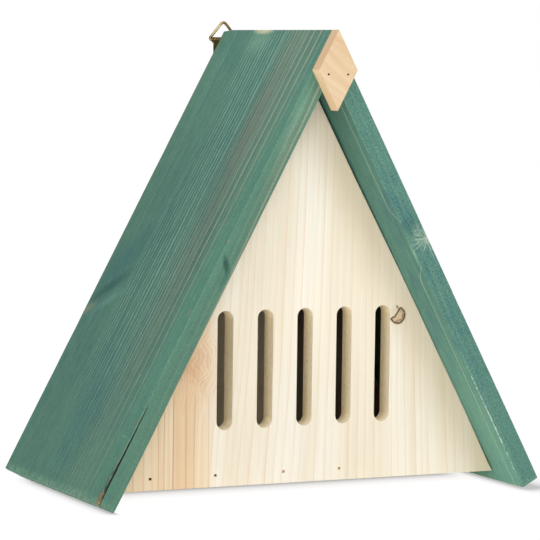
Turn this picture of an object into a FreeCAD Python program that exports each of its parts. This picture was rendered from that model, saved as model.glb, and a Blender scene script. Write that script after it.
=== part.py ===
import FreeCAD, Part
import math
import os

# Butterfly house: two roof boards meet in a mitred ridge over two triangular panels and a floor.
# The front panel has entrance slots, a diamond covers the front of the mitre,
# and a strap at the back of the ridge carries a wire ring that swings.
# X runs to the right, Y to the back and Z up. The origin is under the middle of the part,
# on the ground that the lower edges of the roof boards stand on. Millimetres and degrees.

# Roof boards
board_thickness = 12.0  # planed softwood
roof_pitch = 61.8  # slope of each board from level
roof_board_length = 306.0  # ridge to lower end, along the outer face
roof_depth = 150.0  # front edge to back edge
mitre_gap = 0.1  # glue line between the boards at the ridge
board_ease = 0.6  # rounding of the boards' sawn edges

# Panels and floor
panel_thickness = 12.0
front_recess = 30.0  # roof's front edge to the front panel's face
panel_lift = 6.5  # underside of panels and floor above the ground
panel_clearance = 0.5  # edges of panels and floor to the inner faces of the roof
floor_thickness = 12.0
floor_clearance = 0.1  # ends of the floor to the panels

# Entrance slots
slot_width = 10.0
slot_length = 70.0
slot_pitch = 26.0
slot_rise = 34.0  # panel's bottom edge to the slots' lower ends
slot_margin = 12.0  # least wood between an outer slot and the panel's sloping edge
slot_ease = 0.4  # bevel of the slots' front edges

# Ridge diamond
diamond_thickness = 9.0
diamond_half_height = 23.4
diamond_ease = 0.4  # rounding of its front edges

# Gun brads of flat wire, with T heads driven below the surface
brad_width = 1.3
brad_gauge = 1.05  # thickness of the flat wire
brad_head = 2.0  # wider than the wire one way only
brad_head_depth = 0.9
brad_point = 2.2  # length of the chisel point
brad_tip = 0.3  # width of the point's end
brad_length = 25.0
diamond_brad_length = 20.0
brad_sink = 0.7  # open heads below the surface
brad_cover = 1.2  # filler over the heads in the roof
brad_clearance = 0.05  # wood to brad, all round
roof_brad_shares = (0.15, 0.5, 0.85)  # along a panel's sloping edge, from its top
front_brad_shares = (-0.785, -0.455, -0.103, 0.19)  # of the floor's half width, spaced by hand
back_brad_shares = (-0.75, -0.25, 0.25, 0.75)  # of the floor's half width
floor_brad_share = 0.575  # of the floor's thickness, from its underside
diamond_brad_share = 0.5  # of the diamond's half width, from its middle
diamond_brad_drop_share = 1.1  # of the diamond's half height, from the ridge

# Hanger strap and ring
strap_thickness = 0.8
strap_width = 14.8
strap_seam = 0.12  # rolled end to the strap's own face
strap_end = 4.8  # screw's axis to the middle of the rounded lower end, above the back panel
pivot_drop = 6.4  # ridge to the ring's pivot
wire_diameter = 1.8
eye_clearance = 0.1  # wire to eye, all round
ring_side_clearance = 0.2  # inner side of the legs to the ends of the eye
ring_reach = 12.1  # pivot to the top of the ring
ring_corner_radius = 1.1  # to the middle of the wire
ring_top_radius = 1.6  # to the middle of the wire
ring_seam = 0.4  # between the wire's ends, inside the eye

# Hanger screw
screw_shank = 2.8  # diameter
screw_length = 16.0  # under the head
screw_point = 4.0
screw_head = 4.8  # diameter
screw_head_height = 1.5
screw_crown = 0.5  # rise of the head's bevelled top
screw_crown_span = 2.8  # diameter of the flat on top
screw_clearance = 0.1  # wood and strap to shank, all round
screw_gap = 0.5  # ring hanging down to the screw's head
recess_width = 0.7  # each arm of the cross recess
recess_span = 2.6
recess_depth = 1.0

# Worked out from the sizes above
sin_pitch = math.sin(math.radians(roof_pitch))
cos_pitch = math.cos(math.radians(roof_pitch))
tan_pitch = sin_pitch / cos_pitch
stand_drop = board_ease * (sin_pitch + cos_pitch - 1)  # the rounded arris stands this much lower
ridge_z = roof_board_length * sin_pitch + board_thickness * cos_pitch - stand_drop
inner_ridge_z = ridge_z - board_thickness / cos_pitch
panel_top_z = inner_ridge_z - panel_clearance / cos_pitch

wire_radius = wire_diameter / 2
eye_radius = wire_radius + eye_clearance
eye_outer_radius = eye_radius + strap_thickness
total_depth = diamond_thickness + roof_depth + 2 * eye_outer_radius
diamond_front_y = -total_depth / 2
roof_front_y = diamond_front_y + diamond_thickness
roof_back_y = roof_front_y + roof_depth
front_panel_y = roof_front_y + front_recess
back_panel_y = roof_back_y - panel_thickness
floor_front_y = front_panel_y + panel_thickness + floor_clearance
floor_back_y = back_panel_y - floor_clearance

slot_bottom_z = panel_lift + slot_rise
slot_top_z = slot_bottom_z + slot_length

pivot_y = roof_back_y + eye_outer_radius
pivot_z = ridge_z - pivot_drop
screw_drop = ring_reach + screw_gap + screw_head / 2  # pivot to the screw's axis
screw_seat_y = roof_back_y + strap_thickness
screw_z = pivot_z - screw_drop

TOUCH = 1e-6  # two places closer than this are the same
Y_AXIS = FreeCAD.Vector(0, 1, 0)
Z_AXIS = FreeCAD.Vector(0, 0, 1)


def at(x, y, z):
    """Point in the part's frame."""
    return FreeCAD.Vector(x, y, z)


def line(start, end):
    """Straight edge between two points."""
    return Part.LineSegment(start, end).toShape()


def arc(start, middle, end):
    """Round edge through three points."""
    return Part.Arc(start, middle, end).toShape()


def closed_face(points):
    """Flat face inside a ring of points."""
    return Part.Face(Part.makePolygon(points + points[:1]))


def prism(outline, front_y, depth):
    """Solid with an outline of X and Z places, from front_y backwards."""
    return closed_face([at(x, front_y, z) for x, z in outline]).extrude(Y_AXIS * depth)


def turned(outline):
    """Solid of revolution about Z from an outline of radii and heights."""
    return closed_face([at(radius, 0, z) for radius, z in outline]).revolve(at(0, 0, 0), Z_AXIS, 360)


def aimed(solid, start, direction):
    """Copy of a solid with its origin at a point and its Z axis along a direction."""
    placed = solid.copy()
    placed.Placement = FreeCAD.Placement(start, FreeCAD.Rotation(Z_AXIS, direction))
    return placed


def chosen_edges(solid, wanted):
    """Edges of a solid whose middle passes the test."""
    return [edge for edge in solid.Edges if wanted(edge.CenterOfMass)]


def half_width(z):
    """Half width of the panels and the floor at a height."""
    return (panel_top_z - z) / tan_pitch


class BradRow:
    """Brads of one length, driven the same way at several places."""

    def __init__(self, length, direction, heads, open_head):
        self.length = length
        self.direction = direction
        self.heads = heads
        self.open_head = open_head

    def flat(self, above, room):
        """T outline of a brad along Z with room all round, from above its head to past its point."""
        head = brad_head / 2 + room
        shank = brad_width / 2 + room
        tip = brad_tip / 2 + room
        neck_z = brad_head_depth + room
        point_z = self.length - brad_point
        end_z = self.length + room
        right = [(head, -above), (head, neck_z), (shank, neck_z), (shank, point_z), (tip, end_z)]
        left = [(-x, z) for x, z in reversed(right)]
        thickness = brad_gauge + 2 * room
        return prism(right + left, -thickness / 2, thickness)

    def brad(self):
        """Brad along Z, the top of its head at the origin."""
        return self.flat(0, 0)

    def hole(self):
        """Hole in the wood for a brad, open to the surface or closed over the head."""
        return self.flat(brad_clearance + (brad_sink if self.open_head else 0), brad_clearance)

    def group(self):
        """All brads of the row."""
        return Part.makeCompound([aimed(self.brad(), head, self.direction) for head in self.heads])

    def holes(self):
        """A hole for each brad of the row."""
        return [aimed(self.hole(), head, self.direction) for head in self.heads]


def roof_brads(side, panel_y):
    """Brads through one roof board, side -1 or 1, into the sloping edge of a panel."""
    outward = at(side * sin_pitch, 0, cos_pitch)
    top = (ridge_z - panel_top_z) * sin_pitch
    bottom = half_width(panel_lift) * cos_pitch + (ridge_z - panel_lift) * sin_pitch
    heads = []
    for share in roof_brad_shares:
        along = top + share * (bottom - top)
        surface = at(side * along * cos_pitch, panel_y + panel_thickness / 2, ridge_z - along * sin_pitch)
        heads.append(surface - outward * brad_cover)
    return BradRow(brad_length, outward * -1, heads, open_head=False)


def floor_brads(face_y, inward, shares):
    """Brads through the outer face of a panel into the end of the floor."""
    z = panel_lift + floor_brad_share * floor_thickness
    heads = [at(share * half_width(z), face_y + inward.y * brad_sink, z) for share in shares]
    return BradRow(brad_length, inward, heads, open_head=True)


def diamond_brads():
    """A brad through each half of the diamond into the front edge of a roof board."""
    x = diamond_brad_share * diamond_half_height / tan_pitch
    z = ridge_z - diamond_brad_drop_share * diamond_half_height
    heads = [at(side * x, diamond_front_y + brad_sink, z) for side in (-1, 1)]
    return BradRow(diamond_brad_length, Y_AXIS, heads, open_head=True)


def screw_part(solid):
    """A solid made along Z, set where the screw goes into the back of the ridge."""
    return aimed(solid, at(0, screw_seat_y, screw_z), Y_AXIS * -1)


def screw_shaft(clearance):
    """Shank and point below the head, with room all round."""
    radius = screw_shank / 2 + clearance
    return turned([(0, 0), (radius, 0), (radius, screw_length - screw_point), (0, screw_length + clearance)])


def screw_hole():
    """Hole for the screw in the strap and the ridge."""
    return screw_part(screw_shaft(screw_clearance))


def hanger_screw():
    """Pan-head screw with a cross recess."""
    head = turned([
        (0, 0),
        (screw_head / 2, 0),
        (screw_head / 2, screw_crown - screw_head_height),
        (screw_crown_span / 2, -screw_head_height),
        (0, -screw_head_height),
    ])
    screw = head.fuse(screw_shaft(0)).removeSplitter()
    for width, span in ((recess_width, recess_span), (recess_span, recess_width)):
        corner = at(-width / 2, -span / 2, -screw_head_height)
        screw = screw.cut(Part.makeBox(width, span, recess_depth, corner))
    return screw_part(screw)


def roof_board(side, holes):
    """Roof board on the left, side -1, or on the right, side 1."""
    mitre_x = mitre_gap / 2
    lower_x = roof_board_length * cos_pitch
    lower_z = ridge_z - roof_board_length * sin_pitch
    outline = [
        (side * mitre_x, ridge_z - mitre_x * tan_pitch),
        (side * lower_x, lower_z),
        (side * (lower_x - board_thickness * sin_pitch), lower_z - board_thickness * cos_pitch),
        (side * mitre_x, inner_ridge_z - mitre_x * tan_pitch),
    ]
    board = prism(outline, roof_front_y, roof_depth)
    sawn_edges = chosen_edges(board, lambda middle: abs(middle.x) > mitre_x + TOUCH)
    return board.makeFillet(board_ease, sawn_edges).cut(holes)


def panel(front_y):
    """Triangular panel under the roof."""
    low = half_width(panel_lift)
    return prism([(-low, panel_lift), (low, panel_lift), (0, panel_top_z)], front_y, panel_thickness)


def slot(x):
    """Round-ended slot through the front panel."""
    radius = slot_width / 2
    low = slot_bottom_z + radius
    high = slot_top_z - radius
    y = front_panel_y
    edges = [
        line(at(x + radius, y, low), at(x + radius, y, high)),
        arc(at(x + radius, y, high), at(x, y, slot_top_z), at(x - radius, y, high)),
        line(at(x - radius, y, high), at(x - radius, y, low)),
        arc(at(x - radius, y, low), at(x, y, slot_bottom_z), at(x + radius, y, low)),
    ]
    return Part.Face(Part.Wire(edges)).extrude(Y_AXIS * panel_thickness)


def on_slot_mouth(middle):
    """Whether an edge lies on the front panel's face, inside its outline."""
    on_face = abs(middle.y - front_panel_y) < TOUCH
    inside = half_width(middle.z) - abs(middle.x) > TOUCH and middle.z - panel_lift > TOUCH
    return on_face and inside


def front_panel(holes):
    """Front panel with a slot in the middle and as many on each side as its width holds."""
    room = half_width(slot_top_z) - slot_margin - slot_width / 2
    beside = int(room // slot_pitch)
    slots = [slot(count * slot_pitch) for count in range(-beside, beside + 1)]
    slotted = panel(front_panel_y).cut(slots)
    return slotted.makeChamfer(slot_ease, chosen_edges(slotted, on_slot_mouth)).cut(holes)


def floor_board(holes):
    """Floor between the panels, its sides bevelled to the slope of the roof."""
    top_z = panel_lift + floor_thickness
    low = half_width(panel_lift)
    high = half_width(top_z)
    outline = [(-low, panel_lift), (low, panel_lift), (high, top_z), (-high, top_z)]
    return prism(outline, floor_front_y, floor_back_y - floor_front_y).cut(holes)


def ridge_diamond(holes):
    """Rhombus with the roof's own slopes, its upper sides in line with the roof's faces."""
    middle_z = ridge_z - diamond_half_height
    bottom_z = middle_z - diamond_half_height
    half = diamond_half_height / tan_pitch
    outline = [(0, ridge_z), (half, middle_z), (0, bottom_z), (-half, middle_z)]
    diamond = prism(outline, diamond_front_y, diamond_thickness)
    front_edges = chosen_edges(diamond, lambda middle: abs(middle.y - diamond_front_y) < TOUCH)
    return diamond.makeFillet(diamond_ease, front_edges).cut(holes)


def hanger_plate():
    """Strap with an eye rolled at its top and a rounded lower end."""
    left = -strap_width / 2
    low_z = screw_z - strap_end
    roll_end = -math.acos((strap_seam - eye_radius) / eye_outer_radius)

    def round_eye(radius, angle):
        """Point on the left end of the eye."""
        return at(left, pivot_y + radius * math.cos(angle), pivot_z + radius * math.sin(angle))

    def over_the_top(radius):
        """Upper half of the eye."""
        return arc(round_eye(radius, math.pi), round_eye(radius, math.pi / 2), round_eye(radius, 0))

    def under_the_wire(radius):
        """Rolled end of the eye, on towards the strap."""
        return arc(round_eye(radius, 0), round_eye(radius, roll_end / 2), round_eye(radius, roll_end))

    wood_side = at(left, roof_back_y, low_z)
    free_side = at(left, roof_back_y + strap_thickness, low_z)
    edges = [
        line(wood_side, round_eye(eye_outer_radius, math.pi)),
        over_the_top(eye_outer_radius),
        under_the_wire(eye_outer_radius),
        line(round_eye(eye_outer_radius, roll_end), round_eye(eye_radius, roll_end)),
        under_the_wire(eye_radius),
        over_the_top(eye_radius),
        line(round_eye(eye_radius, math.pi), free_side),
        line(free_side, wood_side),
    ]
    outline = Part.Wire(Part.sortEdges(edges)[0])
    strap = Part.Face(outline).extrude(at(strap_width, 0, 0))
    top_z = pivot_z + 2 * eye_outer_radius
    y = roof_back_y
    plan = Part.Wire([
        line(at(left, y, screw_z), at(left, y, top_z)),
        line(at(left, y, top_z), at(-left, y, top_z)),
        line(at(-left, y, top_z), at(-left, y, screw_z)),
        arc(at(-left, y, screw_z), at(0, y, low_z), at(left, y, screw_z)),
    ])
    return strap.common(Part.Face(plan).extrude(Y_AXIS * 2 * eye_outer_radius)).cut(screw_hole())


def hanger_ring():
    """Triangular ring of round wire, its ends facing each other inside the eye."""
    # The inner side of each leg passes the upper end of the eye, on a tangent to the round top
    pass_x = strap_width / 2 + ring_side_clearance
    top_z = ring_reach - wire_radius - ring_top_radius
    climb = top_z - eye_outer_radius
    inner_top_radius = ring_top_radius - wire_radius
    lean = math.acos(inner_top_radius / math.hypot(pass_x, climb)) - math.atan2(climb, pass_x)
    leg_offset = top_z * math.sin(lean) + ring_top_radius
    corner_x = (leg_offset - ring_corner_radius * (1 + math.sin(lean))) / math.cos(lean)

    def place(side, x, z):
        """Point on one side of the ring, from the pivot."""
        return at(side * x, pivot_y, pivot_z + z)

    def on_corner(side, angle):
        """Point on a lower corner."""
        return place(side, corner_x + ring_corner_radius * math.cos(angle),
                     ring_corner_radius * (1 + math.sin(angle)))

    def on_top(side, angle):
        """Point on the round top."""
        return place(side, ring_top_radius * math.cos(angle), top_z + ring_top_radius * math.sin(angle))

    def half(side):
        """Edges from the wire's end up to the round top."""
        end = place(side, ring_seam / 2, 0)
        start_angle = -math.pi / 2
        middle_angle = (start_angle + lean) / 2
        return [
            line(end, on_corner(side, start_angle)),
            arc(on_corner(side, start_angle), on_corner(side, middle_angle), on_corner(side, lean)),
            line(on_corner(side, lean), on_top(side, lean)),
        ]

    top = arc(on_top(1, lean), on_top(1, math.pi / 2), on_top(-1, lean))
    path = Part.Wire(Part.sortEdges(half(1) + [top] + half(-1))[0])
    section = Part.Wire(Part.makeCircle(wire_radius, place(1, ring_seam / 2, 0), at(1, 0, 0)))
    return path.makePipeShell([section], True, False)


rows = {
    "left_front_brads": roof_brads(-1, front_panel_y),
    "left_back_brads": roof_brads(-1, back_panel_y),
    "right_front_brads": roof_brads(1, front_panel_y),
    "right_back_brads": roof_brads(1, back_panel_y),
    "front_floor_brads": floor_brads(front_panel_y, Y_AXIS, front_brad_shares),
    "back_floor_brads": floor_brads(roof_back_y, Y_AXIS * -1, back_brad_shares),
    "diamond_brads": diamond_brads(),
}


def holes(*names):
    """Holes for the brads of the named rows."""
    return [hole for name in names for hole in rows[name].holes()]


parts = {
    "left_roof_board": roof_board(
        -1, holes("left_front_brads", "left_back_brads", "diamond_brads") + [screw_hole()]),
    "right_roof_board": roof_board(
        1, holes("right_front_brads", "right_back_brads", "diamond_brads") + [screw_hole()]),
    "front_panel": front_panel(holes("left_front_brads", "right_front_brads", "front_floor_brads")),
    "back_panel": panel(back_panel_y).cut(holes("left_back_brads", "right_back_brads", "back_floor_brads")),
    "floor_board": floor_board(holes("front_floor_brads", "back_floor_brads")),
    "ridge_diamond": ridge_diamond(holes("diamond_brads")),
    "hanger_plate": hanger_plate(),
    "hanger_ring": hanger_ring(),
    "hanger_screw": hanger_screw(),
}
for name, row in rows.items():
    parts[name] = row.group()

os.makedirs("parts", exist_ok=True)
for name, shape in parts.items():
    shape.exportStep(f"parts/{name}.step")
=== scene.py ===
"""Looks of a wooden butterfly house: stained roof boards, a slotted pine front, a diamond and a brass hanger.

Pieces are in metres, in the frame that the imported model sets: X to the right, Y to the back and Z up.
Finishes work in millimetres. A roof board measures along its slope from the ridge, back from its front
edge and down into the wood; a panel measures across, back from its face and up from the ground.
"""
from __future__ import annotations

import logging
import math
from dataclasses import dataclass, field
from enum import Enum
from typing import Any, Optional, Sequence, Union

import bmesh
import bpy
import numpy as np
from mathutils import Euler, Matrix, Vector
from mathutils import noise as perlin


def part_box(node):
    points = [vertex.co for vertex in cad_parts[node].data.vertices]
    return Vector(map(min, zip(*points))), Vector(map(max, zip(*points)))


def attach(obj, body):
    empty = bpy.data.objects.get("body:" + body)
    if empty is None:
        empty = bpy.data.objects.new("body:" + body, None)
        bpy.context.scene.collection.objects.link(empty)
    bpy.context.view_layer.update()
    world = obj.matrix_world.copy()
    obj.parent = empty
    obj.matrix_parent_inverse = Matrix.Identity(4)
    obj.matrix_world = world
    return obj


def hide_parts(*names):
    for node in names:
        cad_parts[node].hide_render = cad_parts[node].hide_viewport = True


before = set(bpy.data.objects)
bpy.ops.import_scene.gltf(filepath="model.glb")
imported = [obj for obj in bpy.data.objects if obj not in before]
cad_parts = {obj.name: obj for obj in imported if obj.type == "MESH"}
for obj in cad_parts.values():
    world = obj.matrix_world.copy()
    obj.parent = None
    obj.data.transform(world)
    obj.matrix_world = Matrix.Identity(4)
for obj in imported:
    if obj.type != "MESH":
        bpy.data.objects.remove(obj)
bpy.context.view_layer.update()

MM = 0.001
UP = Vector((0, 0, 1))
BACK = Vector((0, 1, 0))
Triple = tuple[float, float, float]
Pair = tuple[float, float]
Loop = list[Pair]
log = logging.getLogger("butterfly_house")


class Body(str, Enum):
    """Bodies of the frame that pieces ride on."""

    HOUSE = "house"
    RING = "ring"


class Slot(str, Enum):
    """Material slots of the record."""

    STAIN = "green_stained_wood"
    PINE = "pale_pine"
    PEACH = "peach_wood"
    STEEL = "brad_steel"
    BRASS = "antique_brass"


class Side(Enum):
    """Side of the house, as the sign of X."""

    LEFT = -1
    RIGHT = 1


def grey(level: float) -> tuple[float, float, float, float]:
    """Neutral linear colour."""
    return level, level, level, 1.0


def tint(code: str) -> tuple[float, float, float, float]:
    """Linear colour of a six-digit screen colour.

    Args:
        code: Red, green and blue in hexadecimal.

    Returns:
        Linear red, green, blue and an alpha of 1.
    """
    parts = [int(code[place:place + 2], 16) / 255 for place in (0, 2, 4)]
    red, green, blue = (c / 12.92 if c <= 0.04045 else ((c + 0.055) / 1.055) ** 2.4 for c in parts)
    return red, green, blue, 1.0


class Value:
    """A socket of a graph. Operators on numbers add Math nodes."""

    def __init__(self, graph: Graph, socket: bpy.types.NodeSocket) -> None:
        """Wrap one output socket."""
        self.graph = graph
        self.socket = socket

    def __add__(self, other: Number) -> Value:
        """Sum."""
        return self.graph.math("ADD", self, other)

    __radd__ = __add__

    def __sub__(self, other: Number) -> Value:
        """Difference."""
        return self.graph.math("SUBTRACT", self, other)

    def __rsub__(self, other: Number) -> Value:
        """Difference from a plain number."""
        return self.graph.math("SUBTRACT", other, self)

    def __mul__(self, other: Number) -> Value:
        """Product."""
        return self.graph.math("MULTIPLY", self, other)

    __rmul__ = __mul__

    def __truediv__(self, other: Number) -> Value:
        """Quotient."""
        return self.graph.math("DIVIDE", self, other)

    def __rtruediv__(self, other: Number) -> Value:
        """Quotient of a plain number."""
        return self.graph.math("DIVIDE", other, self)

    def __abs__(self) -> Value:
        """Size without sign."""
        return self.graph.math("ABSOLUTE", self)


Number = Union[Value, float]


class Graph:
    """Adds nodes to one node tree."""

    def __init__(self, tree: bpy.types.NodeTree) -> None:
        """Start on a tree."""
        self.tree = tree

    def node(self, kind: str, settings: Optional[dict[str, Any]] = None,
             inputs: Optional[dict[Any, Any]] = None) -> bpy.types.Node:
        """Add a node.

        Args:
            kind: Blender's name of the node's type.
            settings: The node's properties, set before its inputs.
            inputs: Plain values or links, by a socket's name or number.

        Returns:
            The new node.
        """
        made = self.tree.nodes.new(kind)
        for name, setting in (settings or {}).items():
            setattr(made, name, setting)
        for key, given in (inputs or {}).items():
            socket = made.inputs[key]
            for one in given if isinstance(given, list) else [given]:
                if isinstance(one, Value):
                    self.tree.links.new(one.socket, socket)
                else:
                    socket.default_value = one
        return made

    def value(self, kind: str, settings: Optional[dict[str, Any]] = None,
              inputs: Optional[dict[Any, Any]] = None, output: Union[int, str] = 0) -> Value:
        """Add a node and return one of its outputs.

        Args:
            kind: Blender's name of the node's type.
            settings: The node's properties.
            inputs: Plain values or links.
            output: Name or number of the output.

        Returns:
            The output, ready for more maths.
        """
        return Value(self, self.node(kind, settings, inputs).outputs[output])

    def math(self, operation: str, *terms: Number) -> Value:
        """Math node on up to three numbers."""
        return self.value("ShaderNodeMath", {"operation": operation}, dict(enumerate(terms)))

    def split(self, vector: Value) -> tuple[Value, Value, Value]:
        """The three parts of a vector."""
        parts = self.node("ShaderNodeSeparateXYZ", inputs={0: vector}).outputs
        return Value(self, parts[0]), Value(self, parts[1]), Value(self, parts[2])

    def join(self, x: Number, y: Number, z: Number) -> Value:
        """A vector of three numbers."""
        return self.value("ShaderNodeCombineXYZ", inputs={0: x, 1: y, 2: z})

    def rise(self, value: Number, start: float, end: float) -> Value:
        """Smooth step.

        Args:
            value: What is measured.
            start: Where the step is 0.
            end: Where the step is 1; it may be below start.

        Returns:
            A number from 0 to 1.
        """
        low, high = min(start, end), max(start, end)
        ends = (0.0, 1.0) if start < end else (1.0, 0.0)
        return self.value("ShaderNodeMapRange", {"interpolation_type": "SMOOTHSTEP"},
                          {"Value": value, "From Min": low, "From Max": high,
                           "To Min": ends[0], "To Max": ends[1]})

    def near(self, value: Value, middle: Number, reach: float) -> Value:
        """1 where a value is at a middle, falling to 0 at a reach from it."""
        return self.rise(abs(value - middle), reach, 0.0)

    def between(self, value: Value, start: float, end: float, fade: float) -> Value:
        """1 from start to end, fading to 0 outside them."""
        return self.rise(value, start - fade, start) * self.rise(value, end + fade, end)

    def noise(self, place: Value, detail: float = 2.0, roughness: float = 0.5) -> Value:
        """Noise about one half, with cells one unit wide."""
        return self.value("ShaderNodeTexNoise", {"noise_dimensions": "3D"},
                          {"Vector": place, "Scale": 1.0, "Detail": detail, "Roughness": roughness})

    def mix(self, factor: Number, under: Any, over: Any) -> Value:
        """One colour over another."""
        return self.value("ShaderNodeMix", {"data_type": "RGBA"}, {0: factor, 6: under, 7: over}, 2)

    def scaled(self, colour: Value, factor: Number) -> Value:
        """A colour made lighter or darker."""
        return self.value("ShaderNodeVectorMath", {"operation": "SCALE"}, {0: colour, "Scale": factor})


class Finish:
    """A material made of nodes, on the coordinates of the piece that wears it."""

    def __init__(self, name: str) -> None:
        """Start an empty material.

        Args:
            name: Name of the material.
        """
        self.material = bpy.data.materials.new(name)
        self.material.use_nodes = True
        self.material.node_tree.nodes.clear()
        self.graph = Graph(self.material.node_tree)

    def place(self, location: Triple = (0, 0, 0), turn: Triple = (0, 0, 0),
              scale: Triple = (1 / MM, 1 / MM, 1 / MM)) -> Value:
        """The piece's own coordinates in millimetres, scaled, then turned, then moved.

        Args:
            location: Where the piece's origin goes.
            turn: Turn about X, Y and Z, in radians.
            scale: Millimetres for each metre; a minus sign mirrors.

        Returns:
            The place of each point of the surface.
        """
        own = self.graph.value("ShaderNodeTexCoord", output="Object")
        return self.graph.value("ShaderNodeMapping", {"vector_type": "POINT"},
                                {"Vector": own, "Location": location, "Rotation": turn, "Scale": scale})

    def attribute(self, name: str) -> Value:
        """A number that the mesh holds at each point."""
        return self.graph.value("ShaderNodeAttribute", {"attribute_name": name}, output="Fac")

    def close(self, colour: Any, roughness: Number, relief: Optional[Value] = None, depth: float = 0.0,
              metallic: float = 0.0, gloss: float = 0.5) -> bpy.types.Material:
        """Join the surface to the material's output.

        Args:
            colour: Base colour.
            roughness: Plain or varying roughness.
            relief: Height of the surface, from 0 to 1.
            depth: Height of the relief in metres.
            metallic: 1 for bare metal.
            gloss: Specular level.

        Returns:
            The finished material.
        """
        inputs = {"Base Color": colour, "Roughness": roughness, "Metallic": metallic,
                  "Specular IOR Level": gloss}
        if relief is not None:
            inputs["Normal"] = self.graph.value(
                "ShaderNodeBump", inputs={"Height": relief, "Distance": depth, "Strength": 1.0})
        surface = self.graph.value("ShaderNodeBsdfPrincipled", inputs=inputs)
        self.graph.node("ShaderNodeOutputMaterial", inputs={"Surface": surface})
        return self.material


@dataclass(frozen=True)
class Ring:
    """A growth ring that took little stain: its radius, strength and warmth."""

    radius: float
    strength: float
    warmth: float


@dataclass(frozen=True)
class Mark:
    """A patch of another colour on a roof board.

    Its middle and reach are along the slope, back from the front edge and into the wood. Its lean is how
    far it runs down the slope for each millimetre back, and for each millimetre into the wood.
    """

    middle: Triple
    reach: Triple
    colour: str
    strength: float
    fade: float = 0.7
    ragged: float = 0.5
    lean: Pair = (0.0, 0.0)


@dataclass(frozen=True)
class Star:
    """A knot on a board's front edge with a smaller one beside it, and a line that bends away round them.

    Its place and the step to the second knot are down the slope, and depths are into the wood.
    """

    place: float
    deep: float = -0.6
    reach: float = 15.0
    core_reach: float = 5.0
    second_step: float = -7.0
    second_deep: float = 3.0
    second_reach: float = 7.0
    trail_deep: float = 1.4
    trail_length: float = 24.0
    line_back: float = 7.3
    line_bend: float = 9.0
    hair: str = "BFCDB6"
    core: str = "C2CFB6"
    trail: str = "B9CBB8"
    hook: str = "AEC4A8"


@dataclass(frozen=True)
class Crack:
    """A crack down a board's outer front arris.

    It starts at a place down the slope. Its length and the places of its fork and its chips are from there.
    It lies inside the arris and grows from its least half width by its gape.
    """

    start: float
    length: float = 62.0
    inset: float = 1.1
    least: float = 0.28
    gape: float = 0.75
    fork: float = 47.0
    chips: float = 53.0
    lip: str = "93805C"
    dark: str = "2A352C"
    torn: str = "7A6140"
    chip: str = "C2C09A"


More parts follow.
